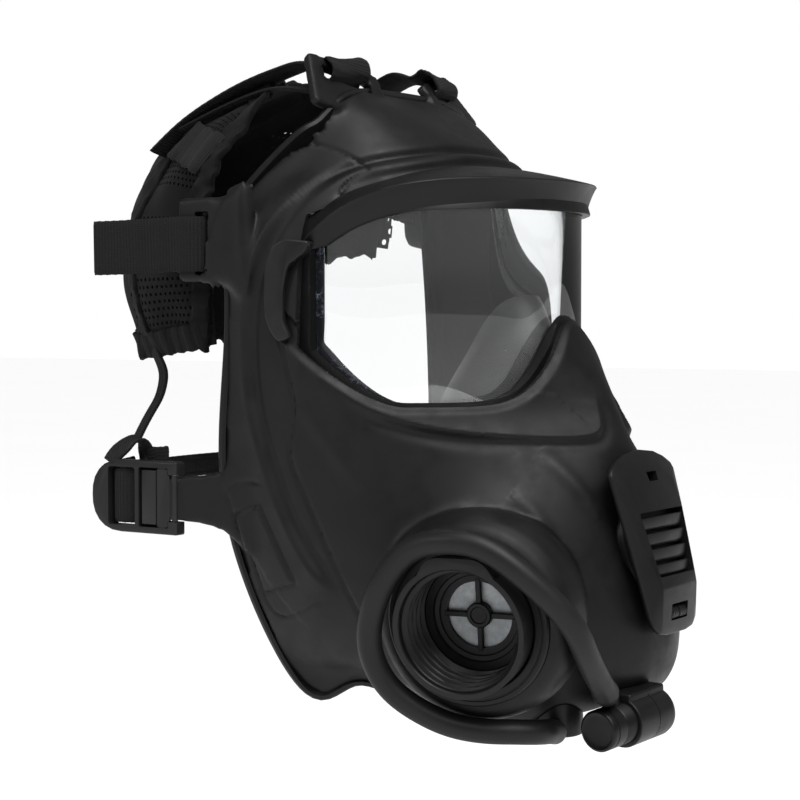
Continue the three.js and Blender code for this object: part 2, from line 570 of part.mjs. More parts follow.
// Buckles at the ends of the cheek tabs, hinged on their pins; outlines are [height, distance back]
const BUCKLE = { half: 12.2, length: 36.6, thickness: 5, notch: 8.1 };
const buckleOutline = [
  [BUCKLE.notch, -2.6], [BUCKLE.half, -2.6], [BUCKLE.half, 29.8], [9.5, 35], [5, BUCKLE.length],
  [-5, BUCKLE.length], [-9.5, 35], [-BUCKLE.half, 29.8], [-BUCKLE.half, -2.6], [-BUCKLE.notch, -2.6],
  [-BUCKLE.notch, 4], [BUCKLE.notch, 4],
];
const buckleFrame = frameAt([PIN.x + BUCKLE.thickness / 2, PIN.y, PIN.z], [-1, 0, 0], [0, 1, 0]);
const camWindow = rectangle(-9.6, 9.6, 8.6, 14.8);
const strapWindow = rectangle(-10.3, 10.3, 16.6, 28.8);
const pinAt = (radius) => moved(disc(radius, -11.8, 11.8, 12), PIN.x, PIN.y, PIN.z);
const bucklePieces = {
  buckle_frame: [() => fromSolid(cut(
    solid(placed(slab(buckleOutline, BUCKLE.thickness, [camWindow, strapWindow]), buckleFrame)),
    moved(disc(PIN.radius + GAP, -14, 14, 12), PIN.x, PIN.y, PIN.z))), 'plastic'],
  buckle_cam_bar: [() => placed(moved(box(18.4, 4, 3.6), 0, 11, 2.5), buckleFrame), 'plastic'],
  buckle_pin: [() => pinAt(PIN.radius), 'steel'],
  buckle_webbing: [() => placed(moved(box(WEBBING_WIDTH, 11.4, 3.6), 0, 22.7, 2.5), buckleFrame), 'webbing'],
};
Object.entries(bucklePieces).forEach(([name, [make, look]]) => {
  add(`${name}_right`, make(), look);
  add(`${name}_left`, leftOf(make()), look);
});

// Straps and the mesh head harness
const straps = {
  temple_strap: strap([[-79.2, 3, 19], [-80.5, 20, 19], [-82, 35, 19], [-84, 49, 19]], [0, 0, 1],
    WEBBING_WIDTH, WEBBING_THICKNESS, 10),
  top_strap: strap([[-31, -11, 86.5], [-33.5, 0, 86.2], [-36, 14, 82.8], [-39, 30, 75], [-41, 40, 69.2]],
    [0.95, 0.1, 0.3], WEBBING_WIDTH, WEBBING_THICKNESS, 12),
  lower_strap: strap([[-65.5, 46, -51], [-62, 45, -43], [-57, 42.5, -33], [-52.5, 45, -26], [-48, 52, -21.5]],
    [0.45, 0.75, 0.1], 6, WEBBING_THICKNESS, 12),
  neck_strap: strap([[-66.5, 48, -60], [-58, 64, -63], [-44, 77, -65], [-24, 87, -66], [-0.2, 90, -66.5]],
    [0, 0, 1], 9, WEBBING_THICKNESS, 14),
};
Object.entries(straps).forEach(([name, geometry]) => {
  add(`${name}_right`, geometry, 'webbing');
  add(`${name}_left`, leftOf(geometry), 'webbing');
});
function liftedCorner([x, y, z]) {
  const forward = 1 - THREE.MathUtils.smoothstep(y, CAP_LIFT.front, CAP_LIFT.rear);
  const below = THREE.MathUtils.clamp((CAP_LIFT.head - z) / (CAP_LIFT.head - CAP_LIFT.foot), 0, 1);
  return [x, y, x > 0 ? z + CAP_LIFT.height * forward * below : z];
}
const capGrid = mirroredGrid(CAP_NET, CAP_STEPS).map((row) => row.map(liftedCorner));
add('head_harness', shellBetween(capGrid, offsetGrid(capGrid, CAP_THICKNESS)), 'webbing');

export default object;
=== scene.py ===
import bpy
import bmesh
import numpy as np
from math import cos, pi, radians, sin
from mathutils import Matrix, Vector


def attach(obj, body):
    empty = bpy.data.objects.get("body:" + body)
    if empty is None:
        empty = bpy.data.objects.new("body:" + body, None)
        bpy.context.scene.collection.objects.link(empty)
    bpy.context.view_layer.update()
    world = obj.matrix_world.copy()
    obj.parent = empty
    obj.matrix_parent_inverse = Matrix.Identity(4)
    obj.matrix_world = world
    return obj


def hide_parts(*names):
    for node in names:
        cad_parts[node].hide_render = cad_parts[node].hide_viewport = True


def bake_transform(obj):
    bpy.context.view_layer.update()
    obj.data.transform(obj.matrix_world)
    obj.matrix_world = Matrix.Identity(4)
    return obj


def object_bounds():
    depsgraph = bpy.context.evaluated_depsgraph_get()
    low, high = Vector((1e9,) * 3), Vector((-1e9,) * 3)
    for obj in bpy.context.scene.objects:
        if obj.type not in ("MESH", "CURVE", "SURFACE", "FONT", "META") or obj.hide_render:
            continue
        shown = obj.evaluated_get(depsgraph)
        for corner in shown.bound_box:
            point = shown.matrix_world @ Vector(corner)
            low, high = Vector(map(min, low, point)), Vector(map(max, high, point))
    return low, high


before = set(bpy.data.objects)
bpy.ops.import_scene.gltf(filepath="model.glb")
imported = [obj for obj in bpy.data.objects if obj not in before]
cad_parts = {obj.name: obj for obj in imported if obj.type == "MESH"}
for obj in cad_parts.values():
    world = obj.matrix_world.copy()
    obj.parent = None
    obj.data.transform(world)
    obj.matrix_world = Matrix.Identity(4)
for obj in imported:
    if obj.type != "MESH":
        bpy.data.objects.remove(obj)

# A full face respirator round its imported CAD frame. Points are written in millimetres and
# turned into metres when a piece is made. +X is the wearer's left, -Y the front, +Z up.
MM = 0.001
cad_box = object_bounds()
scene = bpy.context.scene
bpy.context.scene.view_settings.view_transform = "Standard"

# ---------------------------------------------------------------- camera
CAMERA = {"azimuth": -57, "elevation": 2.5, "distance": 0.740, "lens": 90, "sensor": 36}
CAMERA_TARGET = Vector((0, -0.025, -0.036))


def direction(azimuth, elevation):
    """The way to a viewer at that azimuth and elevation; azimuth 0 is straight in front."""
    a, e = radians(azimuth), radians(elevation)
    return Vector((sin(a) * cos(e), -cos(a) * cos(e), sin(e)))


def looking(obj, azimuth, elevation, distance, target):
    """Places a camera or lamp so that it looks at the target."""
    away = direction(azimuth, elevation)
    obj.location = Vector(target) + away * distance
    obj.rotation_mode = "QUATERNION"
    obj.rotation_quaternion = (-away).to_track_quat("-Z", "Y")
    scene.collection.objects.link(obj)
    return obj


camera = bpy.data.objects.new("camera", bpy.data.cameras.new("camera"))
camera.data.lens = CAMERA["lens"]
camera.data.sensor_width = CAMERA["sensor"]
camera.data.clip_start = 0.01
looking(camera, CAMERA["azimuth"], CAMERA["elevation"], CAMERA["distance"], CAMERA_TARGET)
bpy.context.scene.camera = camera


# ---------------------------------------------------------------- numbers and curves
def unit(v):
    v = np.asarray(v, float)
    return v / np.maximum(np.linalg.norm(v, axis=-1, keepdims=True), 1e-12)


def ease(low, high, value):
    """0 below low, 1 above high, and smooth between."""
    t = np.clip((np.asarray(value, float) - low) / (high - low), 0, 1)
    return t * t * (3 - 2 * t)


def spline(points, at):
    """A natural cubic through the points, read at places from 0 to their number less one."""
    p = np.asarray(points, float)
    n = len(p)
    system, right = np.eye(n), np.zeros_like(p)
    for i in range(1, n - 1):
        system[i, i - 1:i + 2] = (1, 4, 1)
    right[1:-1] = 6 * (p[2:] - 2 * p[1:-1] + p[:-2])
    bend = np.linalg.solve(system, right.reshape(n, -1)).reshape(p.shape)
    at = np.asarray(at, float)
    k = np.clip(at.astype(int), 0, n - 2)
    f = (at - k).reshape((-1,) + (1,) * (p.ndim - 1))
    value = (1 - f) * p[k] + f * p[k + 1]
    return value + (((1 - f) ** 3 - (1 - f)) * bend[k] + (f ** 3 - f) * bend[k + 1]) / 6


def smooth(points, count, closed=False):
    """A smooth line through the points, as count points."""
    p = np.asarray(points, float)
    if not closed:
        return spline(p, np.linspace(0, len(p) - 1, count))
    around = np.concatenate([p[-3:], p, p[:4]])
    return spline(around, 3 + np.linspace(0, len(p), count, endpoint=False))


def even(line, count):
    """The same line as count points at equal distances."""
    line = np.asarray(line, float)
    run = np.concatenate([[0], np.cumsum(np.linalg.norm(np.diff(line, axis=0), axis=1))])
    return np.stack([np.interp(np.linspace(0, run[-1], count), run, c) for c in line.T], 1)


def length_of(line):
    return float(np.linalg.norm(np.diff(line, axis=0), axis=1).sum())


def frame_at(origin, outward, up=(0, 0, 1)):
    """A matrix whose +Z looks along outward, with +Y as near to up as it can be."""
    z = unit(outward)
    x = unit(np.cross(up, z))
    matrix = np.eye(4)
    matrix[:3, :] = np.stack([x, np.cross(z, x), z, np.asarray(origin, float)], 1)
    return matrix


def upright(place):
    """A matrix at the place with the object's own directions, the wearer's back as +Y."""
    return frame_at(place, (0, 0, 1), (0, 1, 0))


def put(points, matrix):
    return np.asarray(points, float) @ matrix[:3, :3].T + matrix[:3, 3]


def mirrored(points):
    return np.asarray(points, float) * (-1, 1, 1)


# ---------------------------------------------------------------- meshes
DOUBLES = 0.002


def new_object(name, mesh):
    piece = bpy.data.objects.new(name, mesh)
    scene.collection.objects.link(piece)
    return piece


def from_work(name, work):
    """A mesh object from a bmesh, which is freed."""
    mesh = bpy.data.meshes.new(name)
    work.to_mesh(mesh)
    work.free()
    return new_object(name, mesh)


def reworked(mesh, *changes):
    """Runs bmesh changes on a mesh."""
    work = bmesh.new()
    work.from_mesh(mesh)
    for change in changes:
        change(work)
    work.to_mesh(mesh)
    work.free()


def turned_out(work):
    bmesh.ops.recalc_face_normals(work, faces=work.faces)


def merged(work):
    bmesh.ops.remove_doubles(work, verts=work.verts, dist=DOUBLES * MM)


def mesh_piece(name, points, faces, tidy=True):
    """A mesh object from points in millimetres. tidy merges doubles and turns the faces out."""
    mesh = bpy.data.meshes.new(name)
    mesh.from_pydata((np.asarray(points, float) * MM).tolist(), [], [list(f) for f in faces])
    if tidy:
        reworked(mesh, merged, turned_out)
    return new_object(name, mesh)


def grid_faces(rows, columns, close_rows=False, close_columns=False, start=0):
    i = np.arange(rows if close_rows else rows - 1)[:, None]
    j = np.arange(columns if close_columns else columns - 1)[None]
    down, right = (i + 1) % rows, (j + 1) % columns
    corners = [i * columns + j, down * columns + j, down * columns + right, i * columns + right]
    return (np.stack(corners, -1).reshape(-1, 4) + start).tolist()


def points_of(piece):
    """A piece's points in millimetres, and their normals."""
    count = len(piece.data.vertices)
    at, normals = np.empty(count * 3), np.empty(count * 3)
    piece.data.vertices.foreach_get("co", at)
    piece.data.vertices.foreach_get("normal", normals)
    return at.reshape(-1, 3) / MM, normals.reshape(-1, 3)


def set_points(piece, points):
    piece.data.vertices.foreach_set("co", (np.asarray(points) * MM).ravel())
    piece.data.update()


def placed(piece, matrix):
    """Carries a piece that was made at the origin to its matrix."""
    set_points(piece, put(points_of(piece)[0], matrix))
    return piece


def settle(piece):
    """Applies the piece's modifiers."""
    graph = bpy.context.evaluated_depsgraph_get()
    mesh = bpy.data.meshes.new_from_object(piece.evaluated_get(graph))
    piece.modifiers.clear()
    piece.data = mesh
    return piece


def combine(piece, tool, operation):
    change = piece.modifiers.new("combine", "BOOLEAN")
    change.object = tool
    change.operation = operation
    change.solver = "MANIFOLD"
    settle(piece)
    bpy.data.objects.remove(tool)
    return piece


def cut(piece, *tools):
    for tool in tools:
        combine(piece, tool, "DIFFERENCE")
    return piece


def join(piece, *tools):
    for tool in tools:
        combine(piece, tool, "UNION")
    return piece


def gathered(name, parts):
    """One piece from several separate solids."""
    work = bmesh.new()
    for part in parts:
        work.from_mesh(part.data)
        bpy.data.objects.remove(part)
    return from_work(name, work)


def bevelled(piece, width, segments=2, angle=35):
    edge = piece.modifiers.new("bevel", "BEVEL")
    edge.width = width * MM
    edge.segments = segments
    edge.limit_method = "ANGLE"
    edge.angle_limit = radians(angle)
    edge.harden_normals = False
    return settle(piece)


def other_side(piece, name):
    """The same piece on the wearer's left."""
    twin = new_object(name, piece.data.copy())
    set_points(twin, mirrored(points_of(piece)[0]))
    twin.data.flip_normals()
    return twin


def lathe(name, profile, matrix, segments=96, radius_at=None):
    """Turns [radius, height] points round the matrix's Z axis."""
    profile = np.asarray(profile, float)
    turn = np.linspace(0, 2 * pi, segments, endpoint=False)
    radius = np.repeat(profile[:, :1], segments, 1)
    height = np.repeat(profile[:, 1:], segments, 1)
    if radius_at is not None:
        radius = radius_at(radius, height, turn[None])
    points = np.stack([radius * np.cos(turn), radius * np.sin(turn), height], -1)
    closed = np.allclose(profile[0], profile[-1])
    rows = len(profile) - closed
    faces = grid_faces(rows, segments, close_rows=closed, close_columns=True)
    return mesh_piece(name, put(points[:rows].reshape(-1, 3), matrix), faces)


def rod(name, radius, low, high, matrix, segments=96):
    return lathe(name, [(0, low), (radius, low), (radius, high), (0, high)], matrix, segments)


def slab(name, outline, low, high, matrix=np.eye(4)):
    """An outline carried from one height to another."""
    outline = np.asarray(outline, float)
    n = len(outline)
    points = [np.column_stack([outline, np.full(n, h)]) for h in (low, high)]
    faces = grid_faces(2, n, close_columns=True) + [list(range(n)), list(range(n, 2 * n))]
    return mesh_piece(name, put(np.concatenate(points), matrix), faces)


CORNER_STEPS = 5


def rectangle(x0, x1, y0, y1, radius=0.0):
    if not radius:
        return [(x0, y0), (x1, y0), (x1, y1), (x0, y1)]
    corners = [(x1, y1, 0), (x0, y1, 90), (x0, y0, 180), (x1, y0, 270)]
    outline = []
    for x, y, start in corners:
        cx = x - radius if x == x1 else x + radius
        cy = y - radius if y == y1 else y + radius
        for k in range(CORNER_STEPS + 1):
            turn = radians(start + 90 * k / CORNER_STEPS)
            outline.append((cx + radius * cos(turn), cy + radius * sin(turn)))
    return outline


def crossed(name, reach, half, low, high, matrix):
    """Two bars across a ring."""
    return [slab(name, rectangle(-x, x, -y, y), low, high, matrix) for x,
            y in ((half, reach), (reach, half))]


def rounded(outline, radius, steps=4):
    """An outline with its corners rounded."""
    p = np.asarray(outline, float)
    result = []
    for k in range(len(p)):
        before, corner, after = p[k - 1], p[k], p[(k + 1) % len(p)]
        reach = [min(radius, 0.45 * np.linalg.norm(q - corner)) for q in (before, after)]
        a = corner + unit(before - corner) * reach[0]
        b = corner + unit(after - corner) * reach[1]
        for s in np.linspace(0, 1, steps + 1):
            result.append((1 - s) ** 2 * a + 2 * s * (1 - s) * corner + s * s * b)
    return result


def sweep(name, line, section, across, closed=False):
    """Carries a closed section down a line: its x lies along across, its y along the normal."""
    line = np.asarray(line, float)
    section = np.asarray(section, float)
    if section.ndim == 2:
        section = np.repeat(section[None], len(line), 0)
    if closed:
        along = unit(np.roll(line, -1, 0) - np.roll(line, 1, 0))
    else:
        along = unit(np.gradient(line, axis=0))
    wide = np.broadcast_to(np.asarray(across, float), line.shape)
    wide = unit(wide - (wide * along).sum(1, keepdims=True) * along)
    normal = np.cross(along, wide)
    points = line[:, None] + section[..., :1] * wide[:, None] + section[..., 1:] * normal[:, None]
    rows, columns = section.shape[:2]
    faces = grid_faces(rows, columns, close_rows=closed, close_columns=True)
    if not closed:
        faces += [list(range(columns)), list(range((rows - 1) * columns, rows * columns))]
    piece = mesh_piece(name, points.reshape(-1, 3), faces, tidy=False)
    run = np.concatenate([[0], np.cumsum(np.linalg.norm(np.diff(line, axis=0), axis=1))])
    for label, value in (("along", np.repeat(run, columns)),
                         ("across", section[..., 0].ravel())):
        layer = piece.data.attributes.new(label, "FLOAT", "POINT")
        layer.data.foreach_set("value", value.astype(np.float32))
    reworked(piece.data, turned_out)
    return piece


def circle(radius, count=24):
    turn = np.linspace(0, 2 * pi, count, endpoint=False)
    return np.stack([radius * np.cos(turn), radius * np.sin(turn)], 1)


def ribbon(width, thickness, count=10):
    """A flat section with round edges, for webbing."""
    x = np.linspace(-width / 2, width / 2, count)
    top = np.stack([x, np.full(count, thickness / 2)], 1)
    top[[0, -1], 1] *= 0.45
    return np.concatenate([top, top[::-1] * (1, -1)])


# ---------------------------------------------------------------- materials
class Finish:
    """A node material built step by step round one Principled shader."""

    def __init__(self, name, **values):
        self.material = bpy.data.materials.new(name)
        self.material.use_nodes = True
        self.tree = self.material.node_tree
        self.tree.nodes.clear()
        self.shader = self.add("ShaderNodeBsdfPrincipled")
        end = self.add("ShaderNodeOutputMaterial")
        self.link(self.shader.outputs[0], end.inputs["Surface"])
        self.place = self.add("ShaderNodeTexCoord").outputs["Object"]
        for label, value in values.items():
            self.shader.inputs[label.replace("_", " ")].default_value = value

    def add(self, kind, **settings):
        node = self.tree.nodes.new(kind)
        for label, value in settings.items():
            setattr(node, label, value)
        return node

    def link(self, source, target):
        self.tree.links.new(source, target)

    def feed(self, target, value):
        if isinstance(value, (int, float, tuple)):
            target.default_value = value
        else:
            self.link(value, target)

    def noise(self, scale, detail=3.0, roughness=0.55):
        node = self.add("ShaderNodeTexNoise")
        self.link(self.place, node.inputs["Vector"])
        self.feed(node.inputs["Scale"], scale)
        self.feed(node.inputs["Detail"], detail)
        self.feed(node.inputs["Roughness"], roughness)
        return node.outputs[0]

    def spots(self, scale):
        node = self.add("ShaderNodeTexVoronoi", feature="F1")
        self.link(self.place, node.inputs["Vector"])
        self.feed(node.inputs["Scale"], scale)
        return node.outputs["Distance"]

    def attribute(self, name):
        return self.add("ShaderNodeAttribute", attribute_name=name).outputs["Fac"]

    def ramp(self, value, low, high, start=0.0, end=1.0):
        node = self.add("ShaderNodeMapRange", interpolation_type="SMOOTHSTEP")
        self.link(value, node.inputs["Value"])
        for label, number in (("From Min", low), ("From Max", high), ("To Min", start), ("To Max", end)):
            node.inputs[label].default_value = number
        return node.outputs["Result"]

    def math(self, operation, a, b=0.0):
        node = self.add("ShaderNodeMath", operation=operation)
        self.feed(node.inputs[0], a)
        self.feed(node.inputs[1], b)
        return node.outputs[0]

    def mix(self, amount, a, b):
        node = self.add("ShaderNodeMix", data_type="RGBA")
        self.feed(node.inputs["Factor"], amount)
        self.feed(node.inputs["A"], a)
        self.feed(node.inputs["B"], b)
        return node.outputs["Result"]

    def edges(self):
        """1 on outer edges, 0 on flats."""
        return self.ramp(self.add("ShaderNodeNewGeometry").outputs["Pointiness"], 0.52, 0.62)

    def bump(self, height, distance, strength=1.0, after=None):
        node = self.add("ShaderNodeBump")
        node.inputs["Strength"].default_value = strength
        node.inputs["Distance"].default_value = distance
        self.link(height, node.inputs["Height"])
        if after is not None:
            self.link(after, node.inputs["Normal"])
        self.link(node.outputs["Normal"], self.shader.inputs["Normal"])
        return node.outputs["Normal"]

    def colour(self, value):
        self.link(value, self.shader.inputs["Base Color"])

    def rough(self, value):
        self.link(value, self.shader.inputs["Roughness"])


def grey(level):
    return (level, level, level, 1)


def moulded(name, dark, light, rough_low, rough_high, grain, specular=0.22, dust=0.05):
    """Moulded rubber or plastic: cloudy sheen, fine grain, paler worn edges and a little lint."""
    f = Finish(name, Specular_IOR_Level=specular)
    cloud = f.noise(45, 4)
    tone = f.mix(f.ramp(cloud, 0.35, 0.7), grey(dark), grey(light))
    tone = f.mix(f.math("MULTIPLY", f.edges(), 0.35), tone, grey(light * 2.2))
    lint = f.math("MULTIPLY", f.ramp(f.spots(380), 0.035, 0.02), f.ramp(f.noise(60, 2), 0.58, 0.7))
    f.colour(f.mix(f.math("MULTIPLY", lint, dust * 4), tone, grey(0.1)))
    smudge = f.ramp(f.noise(90, 5, 0.65), 0.3, 0.72, rough_low, rough_high)
    f.rough(f.math("ADD", smudge, f.math("MULTIPLY", lint, 0.3)))
    coarse = f.bump(f.noise(420, 3), 0.00003, 0.4)
    f.bump(f.noise(grain, 2), 0.000015, 0.5, coarse)
    return f.material


def glass_clear(name):
    """Clear lens plastic, very slightly uneven in tint."""
    f = Finish(name, Roughness=0.0, IOR=1.49, Transmission_Weight=1.0)
    f.colour(f.mix(f.noise(30, 3), (0.95, 0.965, 0.97, 1), (0.985, 0.995, 1.0, 1)))
    return f.material


def painted_reflection_rim(name):
    """Painted reflection for the clear lens's thick edge: a dark colour for its dark reflections, with
    bluish specks as painted glints.
    """
    f = Finish(name, Roughness=0.12, Specular_IOR_Level=0.6, Coat_Weight=0.5)
    # Bluish painted glints, in patches, over the dark painted reflection.
    painted_glints = f.ramp(f.noise(900, 6, 0.8), 0.5, 0.72)
    glint_patches = f.ramp(f.noise(120, 3), 0.4, 0.68)
    amount = f.math("MULTIPLY", painted_glints, glint_patches)
    f.colour(f.mix(amount, (0.008, 0.009, 0.012, 1), (0.34, 0.40, 0.50, 1)))
    f.bump(f.noise(900, 5, 0.75), 0.00012, 0.7)
    return f.material


def woven(name, dark, light, rib, rib_depth=0.5):
    """Woven webbing: cross ribs of yarn along the strap, with fuzz."""
    f = Finish(name, Roughness=0.86, Specular_IOR_Level=0.25, Sheen_Weight=0.06, Sheen_Roughness=0.5)
    f.shader.inputs["Sheen Tint"].default_value = grey(0.35)
    along, across = f.attribute("along"), f.attribute("across")
    ribs = f.math("SINE", f.math("MULTIPLY", along, 2 * pi / rib))
    yarn = f.math("SINE", f.math("MULTIPLY", across, 2 * pi / (rib * 0.62)))
    weave = f.math("ADD", f.math("MULTIPLY", ribs, 0.65), f.math("MULTIPLY", yarn, 0.35))
    fuzz = f.noise(2600, 4, 0.7)
    shade = f.ramp(f.math("ADD", f.math("MULTIPLY", weave, 0.3), fuzz), 0.25, 0.95)
    f.colour(f.mix(shade, grey(dark), grey(light)))
    height = f.math("ADD", f.math("MULTIPLY", weave, rib_depth), f.math("MULTIPLY", fuzz, 0.8))
    f.bump(height, 0.00022, 0.8)
    return f.material


def cloth(name, dark, light, scale, gather=0.0):
    """Plain knitted or fleecy cloth, seen by its fibres."""
    f = Finish(name, Roughness=0.93, Specular_IOR_Level=0.15, Sheen_Weight=0.06, Sheen_Roughness=0.6)
    f.shader.inputs["Sheen Tint"].default_value = grey(0.3)
    fibre = f.noise(scale, 5, 0.75)
    fold = f.noise(scale / 9, 3)
    f.colour(f.mix(f.ramp(f.math("ADD", f.math("MULTIPLY", fibre, 0.6), f.math("MULTIPLY", fold, 0.4)),
                          0.3, 0.75), grey(dark), grey(light)))
    f.bump(fibre, 0.0002, 0.7, f.bump(fold, 0.0006, gather) if gather else None)
    return f.material


def metal(name):
    f = Finish(name, Metallic=1.0)
    brushed = f.noise(600, 4)
    f.colour(f.mix(brushed, grey(0.32), grey(0.55)))
    f.rough(f.ramp(brushed, 0.3, 0.7, 0.25, 0.42))
    f.bump(brushed, 0.00003, 0.5)
    return f.material


def silicone(name):
    """The pale valve disc: matt, slightly mottled silicone."""
    f = Finish(name, Subsurface_Weight=0.08, Specular_IOR_Level=0.4)
    mottle = f.noise(300, 5, 0.7)
    f.colour(f.mix(f.ramp(mottle, 0.35, 0.7), (0.36, 0.37, 0.385, 1), (0.52, 0.53, 0.54, 1)))
    f.rough(f.ramp(mottle, 0.3, 0.7, 0.5, 0.65))
    f.bump(f.noise(1500, 3), 0.00005, 0.4)
    return f.material


LOOKS = {
    "rubber": moulded("moulded_rubber", 0.0032, 0.0046, 0.42, 0.58, 1800),
    "band": moulded("gloss_rubber", 0.0034, 0.005, 0.36, 0.48, 1500),
    "hose": moulded("hose_rubber", 0.0065, 0.009, 0.44, 0.54, 1900, dust=0.03),
    "plastic": moulded("moulded_plastic", 0.0032, 0.005, 0.36, 0.48, 3200, dust=0.03),
    "satin": moulded("satin_plastic", 0.007, 0.011, 0.34, 0.44, 3800, dust=0.03),
    "clear": glass_clear("lens_clear"),
    # Lens rim: painted reflection, a dark colour with bluish painted glints.
    "bevel": painted_reflection_rim("lens_rim_painted_reflection"),
    "valve": silicone("valve_silicone"),
    "webbing": woven("ribbed_webbing", 0.001, 0.006, 1.25),
    "fine": woven("fine_webbing", 0.001, 0.005, 0.8),
    "mesh": cloth("mesh_yarn", 0.001, 0.004, 1500),
    "binding": cloth("edge_binding", 0.001, 0.004, 1300, 0.8),
    "steel": metal("brushed_metal"),
}


def finished(piece, body, slot, look=None, stands_for=(), angle=40):
    """Gives a piece its shading, material and body; the slot picks the material when no look is given. A
    piece with no body is left unattached here.
    """
    piece.data.shade_smooth()
    piece.data.set_sharp_from_angle(angle=radians(angle))
    piece.data.materials.clear()
    piece.data.materials.append(LOOKS[look or slot])
    if body:
        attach(piece, body)
    if stands_for:
        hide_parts(*stands_for)
    return piece


def paired(make, name, body, slot, look=None, stands_for=(), angle=35):
    """A piece on the wearer's right and its twin on the left. {} in a name stands for the side."""
    right = make()
    left = other_side(right, name.format("left"))
    right.name = name.format("right")
    for piece, side in ((right, "right"), (left, "left")):
        finished(piece, body and body.format(side), slot, look, [n.format(side) for n in stands_for], angle)
    return right, left


# ---------------------------------------------------------------- drinking tube
TUBE_DIAMETER = 8.2
TUBE_ROUTE = [
    (-39, -111.9, -143), (-46, -113.4, -141.4), (-54, -113.4, -140.2), (-60.4, -108, -139.6),
              (-64.8, -100.7, -139.4),
    (-69, -91, -138), (-73.4, -81.2, -133.8), (-79, -72, -125.6), (-83, -67.6, -113.7),
              (-85.3, -69.3, -102.2),
    (-86.3, -74.6, -90.6), (-85.5, -84.4, -79.6), (-84.8, -97.2, -76), (-82.3, -108.9, -77.3),
              (-78.4, -119.9, -84.4),
    (-72.9, -129.2, -94.2), (-66.8, -133.9, -103.3), (-58.6, -133.7, -112.4), (-48.3, -131.8, -120.5),
    (-39.4, -130, -126.7), (-33.7, -128.3, -130),
]
PORT_CENTRE, PORT_OUTWARD = (-72, -97.5, -104), (-0.974, -0.178, -0.14)
port = frame_at(PORT_CENTRE, PORT_OUTWARD)


def drinking_tube():
    line = even(smooth(TUBE_ROUTE, 400), 240)
    run = np.linspace(0, length_of(line), len(line))
    radius = np.full(len(line), TUBE_DIAMETER / 2)
    ends = np.minimum(run, run[-1] - run)
    radius -= 0.5 * (1 - ease(0, 0.7, ends))
    stretched = np.exp(-((run[-1] - run - 4.5) / 2.2) ** 2)
    section = circle(1, 32)[None] * (radius + 0.5 * stretched)[:, None, None]
    return line, sweep("drinking_hose", line, section, PORT_OUTWARD)


tube_line, tube = drinking_tube()
finished(tube, "mask", "rubber", "hose", ["drinking_tube"])


# ---------------------------------------------------------------- facepiece
# The outer surface on the wearer's left, as the CAD has it: rows run from the forehead down and
# back under the chin, and each row from the rear edge to the centre line.
FACE_NET = [
    [(57, -19, 57), (53, -23, 60.5), (48.5, -25.5, 65), (42, -27, 70.5), (31, -26.5, 74), (16, -25.5, 75.5),
     (0, -25, 75.5)],
    [(62, -7.3, 45.7), (58, -15, 49.5), (53, -23, 53), (46.5, -31.5, 60), (36, -37.5, 66),
     (18.5, -38.5, 68.5),
     (0, -38, 68.5)],
    [(66, -3, 38), (63, -13, 40), (58, -24, 44.5), (51, -36, 49.5), (40, -46, 55), (20.5, -51, 59),
     (0, -52, 59.5)],
    [(69.5, 0, 31), (68, -13, 33), (63, -27, 37.5), (55, -40, 42), (42, -52, 47), (22, -60, 50.5),
     (0, -62, 51.5)],
    [(71, 0, 22), (71, -14, 25), (67, -29, 29), (59, -44, 35), (46, -57, 41), (24, -67, 45),
     (0, -70, 46.5)],
    [(72, -1, 8), (73.5, -14, 12), (71, -31, 17), (64, -52, 28), (50.5, -74, 35), (26.2, -91.2, 38),
     (0, -96.3, 39)],
    [(72, -1, -10), (74, -15, -6), (73, -31, -2), (65, -50, 2), (50.5, -74, 5), (26.2, -91.2, 8),
     (0, -96.3, 10)],
    [(72, -1, -34), (74, -17, -30), (74, -32, -26), (66.5, -50, -24), (50.5, -74, -22), (27, -92.5, -17),
     (0, -100.5, -13)],
    [(71.8, 1.5, -54), (73.5, -21, -48), (72, -36, -42), (65.5, -55, -39), (47, -81, -39), (21, -102, -38),
     (0, -113, -36)],
    [(69.5, 2, -73), (71, -22, -72), (69, -44, -68), (61, -68, -63), (46, -91, -60), (22, -114, -58),
     (0, -121, -58)],
    [(66, -2, -92), (68, -25, -92), (67, -52, -86), (61, -78, -83), (48, -103, -81), (24, -120, -79),
     (0, -126, -78)],
    [(60, -8, -112), (63, -30, -110), (64, -56, -106), (60, -86, -104), (48, -111, -102), (22, -127, -100),
     (0, -131, -100)],
    [(54, -10.5, -125), (56, -34, -123), (58, -58, -120), (55, -86, -121), (44, -112, -121),
     (20, -129, -120),
     (0, -133, -119)],
    [(50, -14.5, -133), (49.5, -38, -127), (50, -61, -130.5), (47, -86, -137), (37, -110, -135.5),
     (18, -126, -131.5), (0, -130, -130)],
    [(46, -20.5, -139), (45, -38, -129.5), (42, -58, -135), (38, -80, -142), (29, -98, -142),
     (15, -110, -138.5),
     (0, -114, -136)],
    [(44, -24.5, -139.5), (40, -34, -133.5), (34, -40, -136), (27, -46, -137), (19, -51, -137),
     (10, -55, -136.5),
     (0, -56, -136)],
]
WALL = 2.8
# Rows and columns of the grids for the rubber's outside, for its inside, and for every other use.
OUTER_GRID, INNER_GRID, SKIN_GRID = (200, 230), (170, 196), (90, 104)
FACE_MIDDLE = (0, -20, -30)
VOXEL = 0.9
LENS = {"y": -28, "radius": 64, "thickness": 2.4, "half_angle": 90, "border": 3.5}
FRONT_CENTRE, FRONT_OUTWARD = (0, -126, -82), (0, -0.971, 0.238)
front = frame_at(FRONT_CENTRE, FRONT_OUTWARD)
PIN = (-74.6, 21, -69)
DRINK_INLET = (-29, -107, -136)


def face_grid(rows, columns):
    left = np.array(FACE_NET, float)
    whole = np.concatenate([mirrored(left), left[:, -2::-1]], 1)
    across = spline(whole.transpose(1, 0, 2), np.linspace(0, whole.shape[1] - 1, columns))
    return spline(across.transpose(1, 0, 2), np.linspace(0, len(left) - 1, rows))


